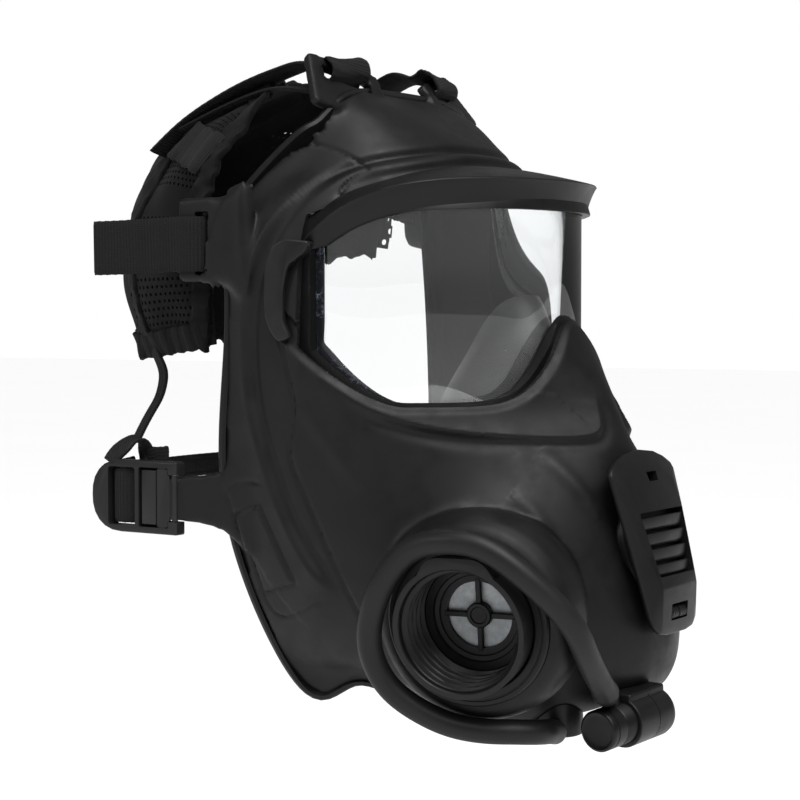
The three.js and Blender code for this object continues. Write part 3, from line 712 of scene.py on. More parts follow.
def grid_normals(grid):
    return unit(np.cross(np.gradient(grid, axis=0), np.gradient(grid, axis=1)))


def space_behind(name, offset, back, grid_size=SKIN_GRID):
    """The space behind the facepiece's surface, with the surface moved outwards by offset."""
    grid = face_grid(*grid_size)
    return closed_behind(name, grid + grid_normals(grid) * offset, back)


def rim_of(rows, columns):
    """The places of a grid's outer points, in order round it."""
    last = (rows - 1) * columns
    return ([j for j in range(columns - 1)] + [i * columns + columns - 1 for i in range(rows - 1)]
            + [last + j for j in range(columns - 1, 0, -1)] + [i * columns for i in range(rows - 1, 0, -1)])


def closed_behind(name, grid, back):
    """The space behind a grid, its rim carried back and shut."""
    rows, columns = grid.shape[:2]
    points = grid.reshape(-1, 3)
    rim = rim_of(rows, columns)
    n, m = len(points), len(rim)
    carried = points[rim] + (0, back, 0)
    middle = [np.add(FACE_MIDDLE, (0, back, 0))]
    faces = grid_faces(rows, columns)
    for k in range(m):
        after = (k + 1) % m
        faces.append([rim[k], rim[after], n + after, n + k])
        faces.append([n + k, n + after, n + m])
    return mesh_piece(name, np.concatenate([points, carried, middle]), faces)


def relax(piece, weight, rounds):
    """Evens a mesh by moving each point towards its neighbours."""
    at, _ = points_of(piece)
    edges = np.empty(len(piece.data.edges) * 2, int)
    piece.data.edges.foreach_get("vertices", edges)
    a, b = edges.reshape(-1, 2).T
    n = len(at)
    degree = np.maximum(np.bincount(a, minlength=n) + np.bincount(b, minlength=n), 1)[:, None]
    weight = np.broadcast_to(np.asarray(weight, float).reshape(-1, 1), (n, 1))
    for _ in range(rounds):
        around = [np.bincount(a, at[b, c], n) + np.bincount(b, at[a, c], n) for c in range(3)]
        at += weight * (np.stack(around, 1) / degree - at)
    set_points(piece, at)


def relief(at, normals, route, reach, shape):
    """How far points move outwards near a line on the surface. shape takes the signed distance
    from the line, positive on its right as it runs, and the place along it from 0 to 1."""
    line = even(smooth(route, 40 * len(route)), 8 * len(route))
    along = unit(np.gradient(line, axis=0))
    moved = np.zeros(len(at))
    low, high = line.min(0) - reach, line.max(0) + reach
    near = np.nonzero(((at > low) & (at < high)).all(1))[0]
    for some in np.array_split(near, len(near) // 4000 + 1):
        if not len(some):
            continue
        gap = at[some, None] - line[None]
        k = (gap ** 2).sum(-1).argmin(1)
        gap = gap[np.arange(len(some)), k]
        side = unit(np.cross(along[k], normals[some]))
        overshoot = (gap * along[k]).sum(-1)
        distance = (gap * side).sum(-1)
        past = (k == 0) * np.maximum(-overshoot, 0) + (k == len(line) - 1) * np.maximum(overshoot, 0)
        fade = np.exp(-(past / 2.5) ** 2) * (np.linalg.norm(gap, axis=1) < reach)
        moved[some] = shape(distance, k / (len(line) - 1)) * fade
    return moved


def groove(depth, width):
    return lambda d, t: -depth * np.exp(-(d / width) ** 2)


RIDGE = [
    (0, -61.5, 52.5), (-18, -60, 51.8), (-34, -55, 49.5), (-46, -47, 47), (-54, -38.5, 44), (-61, -32, 39),
    (-66, -26, 33), (-70, -21, 25), (-73, -16.5, 14), (-74, -13.5, 0), (-74, -12.5, -16), (-74, -14, -32),
    (-73, -18, -48), (-71.5, -23, -64), (-70, -29, -78), (-68, -37, -91), (-66, -46, -100),
]
SEAM = [(-72, -24, -12), (-73, -30, -33), (-73, -28, -47), (-72, -29, -57), (-70, -35, -71),
        (-68, -43, -90),
        (-64, -50, -105)]
UNDER_EYE = [(-70, -43, -28), (-66, -52, -35), (-60, -64, -40), (-54, -74, -42.5), (-47, -84, -44),
             (-37, -94, -45), (-26, -103, -46), (-14, -111, -46), (-9, -112, -42), (-7, -110, -36)]
PLATE_LINE = [(-72, -13, -62), (-73, -6, -62.5), (-73, -1, -65), (-72.5, -2, -69), (-70, -5, -80),
              (-67, -8, -92), (-64, -10, -102), (-62, -13, -107.5), (-62, -18, -109), (-64, -26, -106.5),
              (-65, -35, -102)]
DOME_SEAM = [(-54, -21, 56), (-51, -29, 53), (-49, -38, 48.5), (-49, -43, 45.5), (-51, -44, 43.5),
             (-56, -41, 41), (-60, -39, 36)]
CHEEK_CREASES = [
    [(-31, -101, -50), (-29, -106, -55), (-26, -112, -62), (-21, -119, -73)],
    [(-43, -97, -64), (-40, -103, -70), (-42, -113, -77)],
    [(-73, -33, -34), (-71, -39, -43), (-69, -47, -54), (-66, -54, -63)],
]


def ridge_shape(d, t):
    """A lip over a hollow at the brow, which turns into the raised edge of the band at the temple."""
    brow = 1 - ease(0.22, 0.42, t)
    temple = ease(0.25, 0.45, t)
    lip = 1.5 * np.exp(-((d + 2.6) / 2.6) ** 2) - 1.6 * np.exp(-((d - 2.2) / 1.8) ** 2)
    raised = 2.2 * ease(-0.4, 3.2, d) * np.exp(-np.maximum(d - 3, 0) / 9)
    hollow = -0.5 * np.exp(-((d + 1.4) / 1.5) ** 2)
    return brow * lip + temple * (raised + hollow) * (1 - ease(0.93, 1.0, t))


def under_eye_shape(d, t):
    above = 1.5 * np.exp(-np.maximum(-d, 0) / 6.5)
    below = 1.5 * np.exp(-(np.maximum(d, 0) / 1.2) ** 2) - 0.5 * np.exp(-((d - 3.2) / 2.2) ** 2)
    return np.where(d < 0, above, below) * ease(0, 0.22, t) * (1 - 0.6 * ease(0.9, 1, t))


def crease_shape(d, t):
    return 0.9 * np.exp(-(d / 3.2) ** 2) * np.sin(pi * np.clip(t, 0, 1)) ** 0.5


def face_relief(piece):
    """Ridges, seams and the raised plate, alike on both cheeks."""
    at, normals = points_of(piece)
    flip = np.where(at[:, :1] > 0, (-1, 1, 1), (1, 1, 1))
    at_right, normals_right = at * flip, normals * flip
    out = relief(at_right, normals_right, RIDGE, 22, ridge_shape)
    out += relief(at_right, normals_right, UNDER_EYE, 16, under_eye_shape)
    for line in CHEEK_CREASES:
        out += relief(at_right, normals_right, line, 9, crease_shape)
    for line, depth, width in ((SEAM, 0.75, 0.75), (PLATE_LINE, 0.55, 0.6), (DOME_SEAM, 0.6, 0.6)):
        out += relief(at_right, normals_right, line, 4, groove(depth, width))
    out += plate_relief(at_right)
    out -= lip_relief(at_right)
    set_points(piece, at + normals * out[:, None])


def plate_relief(at):
    """A raised blank identity plate on the cheek, a little wider at its lower end."""
    matrix = frame_at((-68.4, -13.5, -85), (-0.96, -0.26, -0.1), (-0.2, 0.33, 0.92))
    local = (at - matrix[:3, 3]) @ matrix[:3, :3]
    half = 6.2 - 0.07 * local[:, 1]
    inside = np.minimum(half - np.abs(local[:, 0]), 14.4 - np.abs(local[:, 1]))
    near = np.abs(local[:, 2]) < 12
    return near * (0.7 * ease(-0.3, 0.7, inside) - 0.45 * np.exp(-((inside + 0.5) / 0.6) ** 2))


def lens_top(angle):
    return 33 - 11 * (np.abs(angle) / 90) ** 4


def lens_bottom(angle):
    a = np.abs(angle)
    return -35.5 + 29.5 * np.exp(-(a / 17) ** 2) + 22 * np.maximum(0, (a - 58) / 32) ** 1.6


def lens_angle(at):
    return np.degrees(np.arctan2(at[:, 0], LENS["y"] - at[:, 1]))


def lip_relief(at):
    """The rubber thins to a round lip where it meets the lens."""
    angle = lens_angle(at)
    radius = np.hypot(at[:, 0], at[:, 1] - LENS["y"])
    slope = (lens_bottom(angle + 1) - lens_bottom(angle - 1)) / (2 * radians(1) * LENS["radius"])
    below = (lens_bottom(angle) - at[:, 2]) / np.sqrt(1 + slope ** 2)
    near = (radius < 84) & (np.abs(angle) < 93) & (at[:, 2] < lens_top(angle) + 4)
    return near * 1.3 * (1 - ease(-0.5, 2.6, below)) * (below > -6)


def visor_block(name, inner, outer, border, half_angle, steps=120, rise=0.0):
    """A curved slab behind the lens's outline, between two radii."""
    angle = np.linspace(-half_angle, half_angle, steps + 1)
    turn = np.radians(angle)
    top, bottom = lens_top(angle) + border + rise, lens_bottom(angle) - border
    ring = [(outer, top), (inner, top), (inner, bottom), (outer, bottom)]
    grid = np.stack([np.stack([r * np.sin(turn), LENS["y"] - r * np.cos(turn), z], 1) for r, z in ring], 1)
    n = steps + 1
    faces = grid_faces(n, 4, close_columns=True) + [[0, 1, 2, 3],
                                                    [4 * n - 4, 4 * n - 3, 4 * n - 2, 4 * n - 1]]
    return mesh_piece(name, grid.reshape(-1, 3), faces)


# Each tab's matrix, thickness, outline and window.
TABS = {
    "temple": (frame_at((-71.6, 0, 21.5), (-0.99, -0.05, 0), (-0.05, 0.99, 0)), 5.0,
               [(-14.5, 17), (14.5, 17), (14.5, 1), (16.5, -5), (20, -11), (-20, -11), (-16.5, -5),
                (-14.5, 1)],
               (-12, 9.4, 4.5, 9.5)),
    "top": (frame_at((-34.5, -24.5, 71), (-0.15, -0.8, 0.55), (0.35, 0.45, 0.8)), 3.6,
            [(-16, 15), (16, 15), (18, -9), (-18, -9)], (-10.5, 10.5, 4.5, 10.5)),
    "cheek": (frame_at((-69.8, 2, -69), (-0.99, -0.13, 0), (-0.13, 0.99, 0)), 3.6,
              [(-7.8, 17.5), (7.8, 17.5), (8.4, 8), (9.6, 2), (13, -3.5), (20, -11), (-20, -11),
               (-13, -3.5),
               (-9.6, 2), (-8.4, 8)], None),
}
# Outer radii of the port's barrel and flange, and the room left round a fitted part.
BARREL, FLANGE, ROOM = 22.3, 27.6, 0.2
BOSS = [(0, -40), (27, -40), (35.6, -16), (35.2, -11), (34.1, -6.6), (32.3, -3.2), (30, -1.4), (27, -0.9),
        (0, -0.9)]


def facepiece():
    """The moulded rubber: outer body, tabs and boss fused and softened, then hollowed and bored."""
    body = closed_behind("facepiece_rubber", face_grid(*OUTER_GRID), 0)
    parts = [body, lathe("boss", BOSS, port)]
    holes = []
    for name, (matrix, thickness, outline, window) in TABS.items():
        tab = slab(name, rounded(outline, 2.2), 0, thickness, matrix)
        parts += [tab, other_side(tab, name + "_left")]
        if window:
            hole = slab(name + "_hole", rectangle(*window, radius=1), -4, thickness + 4, matrix)
            holes += [hole, other_side(hole, name + "_hole_left")]
    knuckle = rod("knuckle", 2.7, -7.6, 7.6, upright(PIN))
    parts += [knuckle, other_side(knuckle, "knuckle_left")]
    body = gathered("facepiece_rubber", parts)
    grain = body.modifiers.new("grain", "REMESH")
    grain.mode = "VOXEL"
    grain.voxel_size = VOXEL * MM
    settle(body)
    cut(body, *holes)
    relax(body, 0.5, 3)
    at, _ = points_of(body)
    local = (at - port[:3, 3]) @ port[:3, :3]
    radius = np.hypot(local[:, 0], local[:, 1])
    root = (radius > 33) * (radius < 52) * (np.abs(local[:, 2] + 24) < 16)

    def by_tab(y, z, half):
        return (np.abs(at[:, 0]) > 62) & (np.abs(at[:, 1] - y) < half) & (np.abs(at[:, 2] - z) < 26)

    for where, weight in ((root, 0.6), (by_tab(-6, 21, 9), 0.48), (by_tab(-5, -69, 8), 0.48)):
        relax(body, weight * where, 25)
    face_relief(body)
    cut(body, space_behind("inside", -WALL, 90, INNER_GRID))
    cut(body, visor_block("opening", 50, 90, 0, 88, rise=6.5))
    cut(body, visor_block("lens_seat", LENS["radius"] - LENS["thickness"] - ROOM, LENS["radius"] + ROOM,
                          LENS["border"] + ROOM, 90.4))
    cut(body, rod("bore", BARREL + ROOM, -60, 20, port))
    cut(body, rod("rebate", FLANGE + ROOM, -2.8, 20, port))
    cut(body, lathe("exhale_bore", [(0, -20), (17.3, -20), (17.3, 0.3), (19.8, 0.3), (19.8, 12), (0, 12)],
                    front))
    cut(body, rod("drink_bore", 6.9, -10, 12, upright(DRINK_INLET)))
    return finished(body, "mask", "rubber", stands_for=["facepiece"], angle=50)


facepiece()


def face_seal():
    """The in-turned sealing flap round the rear edge."""
    rim = face_grid(*SKIN_GRID).reshape(-1, 3)[rim_of(*SKIN_GRID)]
    rim = even(smooth(rim[::12], 500, closed=True), 260)
    inward = (0, -15, -35) - rim
    inward[:, 1] *= 0.2
    section = [(-1.5, 0.4), (-0.9, 1.3), (0.4, 1.7), (3.5, 1.8), (8, 2.2), (13, 1.4), (17, -0.6),
               (17.2, -1.8),
               (13, -0.2), (8, 0.8), (3.5, 0.4), (1.6, -0.9), (-0.4, -1.5), (-1.4, -0.8)]
    return finished(sweep("face_seal", rim, section, inward, closed=True), "mask", "rubber", "band")


face_seal()

# ---------------------------------------------------------------- peak, lens and temple blocks
PEAK_STEPS = 180


def ring_points(radius, angle, height):
    turn = np.radians(angle)
    return np.stack([radius * np.sin(turn), LENS["y"] - radius * np.cos(turn), height + 0 * turn], -1)


def peak_top(angle):
    return 42 - 27.5 * (np.abs(angle) / 92) ** 5


def peak_bottom(angle):
    return 32.3 - 12.8 * (np.abs(angle) / 81) ** 5


def brow_peak():
    """The shelf over the lens: a sharp front edge and a front band that leans in below it."""
    s = np.linspace(-1, 1, PEAK_STEPS + 1)
    place = np.abs(s)
    stations = (0, 0.38, 0.65, 0.85, 1)
    inner_r = np.interp(place, stations, (38.5, 43, 52.5, 60, 66))
    inner_z = np.interp(place, stations, (48.2, 47.4, 43.6, 37.5, 27))
    inner_r, inner_z = [spline(v[::12], np.linspace(0, len(v[::12]) - 1, len(s))) for v in (inner_r,
                                                                                            inner_z)]
    top_angle, low_angle, inner_angle = 91 * s, 81 * s, 90 * s
    top_z, low_z = peak_top(top_angle), peak_bottom(low_angle)
    top_r, low_r = 69.6 - 0.4 * place ** 4, 66 - 1.2 * place ** 3

    def between(f, sink=0.0):
        angle = inner_angle + (top_angle - inner_angle) * f
        radius = inner_r + (top_r - inner_r) * f
        height = inner_z + (top_z - inner_z) * f ** 1.25 - sink
        return ring_points(radius, angle, height)

    def face(f, hollow=0.0):
        angle = top_angle + (low_angle - top_angle) * f
        radius = top_r + (low_r - top_r) * f - hollow
        return ring_points(radius, angle, top_z + (low_z - top_z) * f)

    rows = [between(0), between(0.2), between(0.4), between(0.6), between(0.8), between(0.93),
            between(0.985, 0.05), face(0.035), face(0.12, 0.25), face(0.35, 0.5), face(0.6, 0.5),
            face(0.85, 0.3), face(0.965, 0.1), ring_points(low_r - 0.5, low_angle, low_z - 0.25),
            ring_points(64.35, low_angle, low_z + 0.1), ring_points(64.35, low_angle, low_z + 2.5),
            face(0.5, 4.6), between(0.75, 3.6), between(0.4, 3), between(0, 2.6)]
    grid = np.stack(rows, 1)
    n, m = grid.shape[:2]
    faces = grid_faces(n, m, close_columns=True) + [list(range(m)), list(range((n - 1) * m, n * m))]
    piece = mesh_piece("brow_shelf", grid.reshape(-1, 3), faces)
    return finished(piece, "mask", "rubber", "band", ["brow_peak"], angle=55)


brow_peak()


def visor():
    lens = visor_block("lens", LENS["radius"] - LENS["thickness"], LENS["radius"], LENS["border"] - 0.3,
                       LENS["half_angle"] - 0.3, 240)
    finished(bevelled(lens, 0.5, 2, 50), "mask", "clear", stands_for=["visor_lens"], angle=30)
    # A thin strip laid on the lens along its side and lower edge, coloured with the painted reflection of
    # the thick clear edge.
    angle = np.concatenate([np.linspace(70, 88.2, 14), np.full(26, 88.2), np.linspace(88.2, 42, 60)])
    low = np.linspace(0, 1, 26)
    z = np.concatenate([lens_top(angle[:14]), lens_top(88.2) + (lens_bottom(88.2) - lens_top(88.2)) * low,
                        lens_bottom(angle[40:])])
    flat = even(np.stack([np.radians(angle) * LENS["radius"], z], 1), 150)
    flat = smooth(flat[::6], 150)
    run = np.linspace(0, 1, len(flat))
    width = 5.2 * ease(0, 0.2, run) * (1 - ease(0.42, 1, run)) + 0.5
    for side, name in ((-1, "right"), (1, "left")):
        turn = flat[:, 0] / LENS["radius"]
        radius = LENS["radius"] - 0.2
        line = np.stack([side * radius * np.sin(turn), LENS["y"] - radius * np.cos(turn), flat[:, 1]], 1)
        along = unit(np.gradient(line, axis=0))
        out = np.stack([side * np.sin(turn), -np.cos(turn), 0 * turn], 1)
        inward = np.cross(along, out) * side
        section = np.array([(0, -0.2), (0, 0.5), (0.25, 0.8), (0.7, 0.75), (1, 0.35), (1, -0.2)])
        sections = section[None] * np.stack([width, np.full(len(width), 1.0)], 1)[:, None]
        sections[..., 1] *= side
        piece = sweep(f"lens_edge_painted_reflection_{name}", line, sections, inward)
        # The strip's colour is painted reflection: dark, with bluish painted glints.
        finished(piece, "mask", "clear", "bevel")


visor()

BLOCK_OUTLINE = [(-1.3, 18.4), (8.3, 17.4), (6.6, 13.5), (0.4, 9), (-1.2, 1), (-1.2, -9.5), (1.4, -15.2),
                 (-3.2, -16.7), (-6.2, -12.5), (-7.7, -8), (-8.1, 0), (-7.8, 9), (-5.4, 15.8)]


def temple_block():
    matrix = frame_at((-73.4, -27.6, 2.9), (-0.955, -0.3, 0.0))
    return bevelled(slab("temple_block", rounded(BLOCK_OUTLINE, 1.5), -4.5, 2.4, matrix), 0.8, 3, 50)


paired(temple_block, "temple_block_{}", "mask", "satin", stands_for=["temple_clip_{}"], angle=40)


# ---------------------------------------------------------------- inlet port
THREAD_PITCH = 3.6
BORE = 19.6


def inlet_port():
    """The threaded barrel with its trapezoid lug, the flange, the spoked seat and the disc."""
    walls = [(BORE, z) for z in np.linspace(-7.6, 7.8, 64)]

    def threaded(radius, height, turn):
        ridge = 0.5 + 0.5 * np.cos(2 * pi * height / THREAD_PITCH - turn)
        span = ease(-7.4, -5.5, height) * (1 - ease(5.6, 7.6, height))
        return np.where(radius == BORE, radius + 0.6 - 1.9 * span * ridge ** 1.6, radius)

    barrel = rod("inlet_barrel", BARREL, -17, 9, port, 112)
    outline = rounded([(-21.9, 3), (-9.4, 24.2), (9.4, 24.2), (21.9, 3), (16, -8), (-16, -8)], 4.6, 8)
    barrel = bevelled(join(barrel, slab("lug", outline, 5.8, 9.0, port)), 0.45, 2)
    bore = [(0, -18), (18.4, -18), (18.4, -9), (19.2, -8.4), *walls, (20.3, 8.7), (20.8, 9.2), (20.8, 12),
            (0, 12)]
    cut(barrel, lathe("thread", bore, port, 112, threaded))
    finished(barrel, "mask", "plastic", stands_for=["inlet_port_right"])
    flange = [(22.6, -2.4), (FLANGE, -2.4), (FLANGE, -0.5), (27.1, 0), (25.9, 0), (25.7, -0.3),
              (25.4, -0.3), (25.2, 0),
              (23.2, 0), (22.6, -0.6), (22.6, -2.4)]
    finished(lathe("inlet_flange", flange, port), "mask", "plastic", stands_for=["clamp_ring_right"])
    seat = [(11.3, -13), (18.1, -13), (18.1, -9.4), (15.6, -9.4), (15.2, -10.4), (13.8, -10.6),
            (13.4, -11.2),
            (11.3, -11.4), (11.3, -13)]
    spider = lathe("inlet_seat", seat, port)
    join(spider, *[bevelled(spoke, 0.3, 1) for spoke in crossed("spoke", 12.4, 0.95, -12.7, -11.1, port)])
    hub = [(0, -12.9), (4.3, -12.9), (4.3, -10.9), (3.9, -10.5), (2.9, -10.5), (2.6, -10.9), (0, -10.9)]
    join(spider, lathe("hub", hub, port, 48))
    finished(spider, "mask", "plastic", stands_for=["inlet_valve_seat_right"])
    disc = [(0, -14.2), (12, -14.2), (12.7, -13.9), (12.7, -13.5), (11, -13.35), (5, -13.3), (0, -13.4)]
    finished(lathe("inlet_disc", disc, port, 64), "inlet_valve", "valve",
             stands_for=["inlet_valve_disc_right"])


inlet_port()


# ---------------------------------------------------------------- exhale cover
def hull(name, points):
    """The convex solid round some points."""
    work = bmesh.new()
    for p in points:
        work.verts.new(Vector(p) * MM)
    result = bmesh.ops.convex_hull(work, input=work.verts)
    unused = {v for v in result["geom_interior"] + result["geom_unused"] if isinstance(v,
                                                                                       bmesh.types.BMVert)}
    bmesh.ops.delete(work, geom=list(unused), context="VERTS")
    bmesh.ops.dissolve_limit(work, angle_limit=radians(2), verts=work.verts, edges=work.edges)
    turned_out(work)
    return from_work(name, work)


COVER_SIDE = [(7, -32.4), (12.5, -31.6), (16.2, -29), (17.4, -25.5), (17.0, -17), (19.0, -9.5), (22.0, 9),
              (24, 23.6),
              (22.6, 25.6), (18, 28), (11, 30.2), (0, 31.3)]
COVER_FRONT = [(0, 23.2, 7.3), (8, 22.9, 7.0), (16.6, 19.6, 6.9), (16.2, 9.6, 8.2), (0, 9.6, 9.2),
               (13.3, -17, 9.1), (0, -17, 9.6), (12.6, -29.2, 5.4), (14.6, -25, 6.2), (0, -30.2, 5.4)]


def both_sides(points):
    return [(s * p[0], *p[1:]) for s in (1, -1) for p in points]


def half_width(y):
    """Half the louvre panel's width at a height."""
    return 19.9 + 0.165 * y


def exhale_cover():
    """The louvred cover: a faceted hood with four bowed slats in a sunk window, a slot, and the catch."""
    base = [(x, y, z) for x, y in COVER_SIDE for z in (2.6, 4.3)]
    shell = bevelled(placed(hull("louvred_cover", both_sides(base + COVER_FRONT)), front), 0.55, 2, 12)
    low, high = half_width(-13) - 4.6, half_width(9.4) - 4.9
    window = [(-low, -13), (low, -13), (high, 9.4), (-high, 9.4)]
    cut(shell, slab("window", rounded(window, 0.8, 2), 3.9, 20, front))
    cut(shell, slab("slot", rounded([(-3.3, 19.6), (3.3, 19.6), (3.7, 23), (-3.7, 23)], 0.4, 2), 3.7, 20,
                    front))
    cut(shell, slab("latch_window", rectangle(-6.2, 6.2, -28, -22.6, radius=0.5), 3.0, 20, front))
    for y in (5.2, -0.2, -5.6, -11):
        w = half_width(y) - 4.0
        x = np.linspace(-w, w, 41)
        line = np.stack([x, np.full(41, y), 5.8 + 1.9 * (1 - (x / w) ** 2)], 1)
        section = rounded([(-1.55, -2.2), (-0.35, -2.5), (1.05, 1.6), (0.35, 2.3), (-0.75, 1.0)], 0.3, 2)
        slat = sweep("slat", line, np.array([(-a, b) for a, b in section]), (0, 0, 1))
        join(shell, placed(slat, front))
    finished(shell, "cover", "plastic", stands_for=["exhale_cover"], angle=30)
    profile = [(x, 5.0 + 1.7 * (1 - (x / 2.4) ** 2) ** 0.5) for x in np.linspace(-2.4, 2.4, 15)]
    line = np.array([(x, -25.3, 0) for x in np.linspace(-5.6, 5.6, 90)])
    ribs = 1 - 0.07 * (np.abs(((line[:, 0] + 5.6) % 1.4) - 0.7) < 0.22) - 0.16 * (np.abs(line[:, 0]) < 0.25)
    section = np.array([(-2.4, 2.9)] + profile + [(2.4, 2.9)])
    sections = np.repeat(section[None], 90, 0)
    sections[:, 1:-1, 1] = 3.2 + (sections[:, 1:-1, 1] - 3.2) * ribs[:, None]
    latch = placed(sweep("cover_catch", line, sections, (0, 1, 0)), front)
    finished(latch, "cover", "plastic", stands_for=["cover_latch"], angle=30)


exhale_cover()


def exhale_valve():
    """Behind the cover: the housing, the valve's disc and the speech plate."""
    body = lathe("exhale_housing", [(14.2, -13), (17, -13), (17, 0.6), (19.5, 0.6), (19.5, 1.6), (19.1, 2),
                                    (14.2, 2),
                                    (14.2, -13)], front)
    join(body, *crossed("arm", 14.6, 0.9, -7, -5, front))
    finished(body, "mask", "plastic", stands_for=["exhale_valve_body"])
    disc = [(0, -4.6), (13, -4.6), (13.6, -4.3), (13.6, -3.9), (11, -3.6), (2.4, -3.6), (1.8, -3.2),
            (0, -3.2)]
    finished(lathe("exhale_disc", disc, front, 64), "exhale_valve", "valve",
             stands_for=["exhale_valve_disc"])
    rings = [(r, -11.6 - 0.25 * (k % 2)) for k, r in enumerate(np.linspace(13.6, 0, 15))]
    finished(lathe("speech_plate", [(0, -12.4), (13.8, -12.4), (13.8, -11.9), *rings], front, 72), "mask",
             "steel",
             stands_for=["speech_diaphragm"])


exhale_valve()

# ---------------------------------------------------------------- drink connector and inlets
CONNECTOR_START, CONNECTOR_END = np.array((-38.4, -127.2, -141.2)), np.array((-2.9, -132.3, -138.9))
connector = frame_at(CONNECTOR_START, CONNECTOR_END - CONNECTOR_START)
CONNECTOR_LENGTH = float(np.linalg.norm(CONNECTOR_END - CONNECTOR_START))


def drink_connector():
    """The connector's cap, and its body with the nipple that the tube slips over."""
    end = CONNECTOR_LENGTH
    cap = [(0, 0.7), (4.9, 0.7), (5.7, 0.35), (6.2, 0.0), (6.7, 0.15), (7, 0.6), (7, 2.7), (6.7, 2.9),
           (6.7, 3.3),
           (7, 3.5), (7, 7.7), (5.6, 7.7), (5.6, 4.6), (0, 4.6)]
    finished(lathe("drink_cap", cap, connector, 72), "tube_cap", "plastic", stands_for=["connector_cap"])
    body = [(0, 5), (5.2, 5), (5.2, 8), (6.8, 8), (7, 8.25), (7, end - 2.4), (6.6, end - 1.1),
            (5.6, end - 0.3),
            (4.4, end), (0, end)]
    tube_end = smooth([(-33, -128.1, -130.3), (-31.4, -127.9, -130.7), (-29.6, -127.8, -131.2),
                       (-28.2, -128.1, -133.2),
                       (-27.9, -128.6, -137)], 24)
    width = np.interp(np.linspace(0, 1, 24), (0, 0.3, 0.75, 1), (2.6, 2.5, 1.9, 2.3))
    nipple = sweep("nipple", tube_end, circle(1, 20)[None] * width[:, None, None], (0, 1, 0))
    piece = join(lathe("drink_coupling", body, connector, 72), nipple)
    finished(piece, "mask", "plastic", stands_for=["drink_connector"])


drink_connector()


CHIN_ROOM = 0.25


def chin_clip():
    """A sleeve on a short foot that holds the connector up against the chin."""
    low, high = 13.5, CONNECTOR_LENGTH - 0.6
    sleeve = [(0, low), (8.2, low), (8.5, low + 0.3), (8.5, high - 3), (8.1, high - 1.4), (7.2, high - 0.4),
              (5.8, high), (0, high)]
    foot = slab("foot", [(-4, 0), (4, 0), (4, 9.8), (-4, 9.8)], low, high - 1.5, connector)
    clip = join(lathe("connector_clip", sleeve, connector, 72), bevelled(foot, 0.8, 3))
    middle = (low + high) / 2
    seam = [(8.3, middle - 0.15), (9.2, middle - 0.15), (9.2, middle + 0.15), (8.3, middle + 0.15),
            (8.3, middle - 0.15)]
    cut(clip, lathe("clip_seam", seam, connector, 72))
    cut(clip, rod("clip_bore", 7.25, 0, high - 1.2, connector, 72))
    cut(clip, space_behind("chin", CHIN_ROOM, 0))
    finished(clip, "mask", "plastic", stands_for=["chin_clip"], angle=35)


chin_clip()

MOUTH_ROUTE = [(-29, -107, -131), (-28.2, -105.9, -125), (-21, -99, -116), (-11, -91, -107), (-4, -87, -98)]


def drink_inlet():
    """The elbow under the chin, with its nozzle, and the mouth tube inside."""
    up = upright(DRINK_INLET)
    skirt = lathe("drink_elbow", [(0, -9.6), (7.9, -9.6), (8.6, -9.3), (8.9, -8.6), (8.9, 3), (0, 3)], up,
                  64)
    body = cut(skirt, space_behind("chin", CHIN_ROOM, 0))
    join(body, lathe("stem", [(0, -9), (6.5, -9), (6.5, 3.4), (5.8, 4), (0, 4)], up, 64))
    nozzle = frame_at((DRINK_INLET[0], DRINK_INLET[1], -143), (-0.895, -0.446, 0))
    join(body, lathe("nozzle", [(0, 0), (2.5, 0), (2.5, 8.6), (3.4, 8.6), (3.4, 9.1), (0, 9.1)], nozzle,
                     48))
    finished(body, "mask", "plastic", stands_for=["drink_inlet"])
    line = smooth(MOUTH_ROUTE, 70)
    finished(sweep("mouth_hose", line, circle(3.5, 24), (0, 1, 0)), "mask", "rubber", "hose",
             ["mouth_tube"])


drink_inlet()

# ---------------------------------------------------------------- nose cup
CUP_RIM = [(0, -79, 1), (10, -73, -2), (20, -67, -17), (30, -61, -35), (36, -57, -58), (37, -57, -80),
           (32, -62, -100), (19, -70, -113), (0, -75, -117)]
CUP_RING = {"radius": 19, "centre": (0, -108, -86.4), "bulge": 8}
CUP_VALVES = [(-33, -84, -72), (33, -84, -72)]


def cup_skin(shrink, around=120, along=26):
    rim = smooth(CUP_RIM + [(-x, y, z) for x, y, z in CUP_RIM[-2:0:-1]], around, closed=True)
    turn = np.linspace(0, 2 * pi, around, endpoint=False)
    ring = np.array(CUP_RING["centre"]) + CUP_RING["radius"] * np.stack([np.sin(turn), 0 * turn,
                                                                         np.cos(turn)], 1)
    f = np.linspace(0, 1, along)[:, None, None]
    skin = rim + (ring - rim) * f
    away = skin - (0, -90, -62)
    away[..., 1] = 0
    return skin + unit(away) * (CUP_RING["bulge"] * np.sin(pi * f) - shrink)


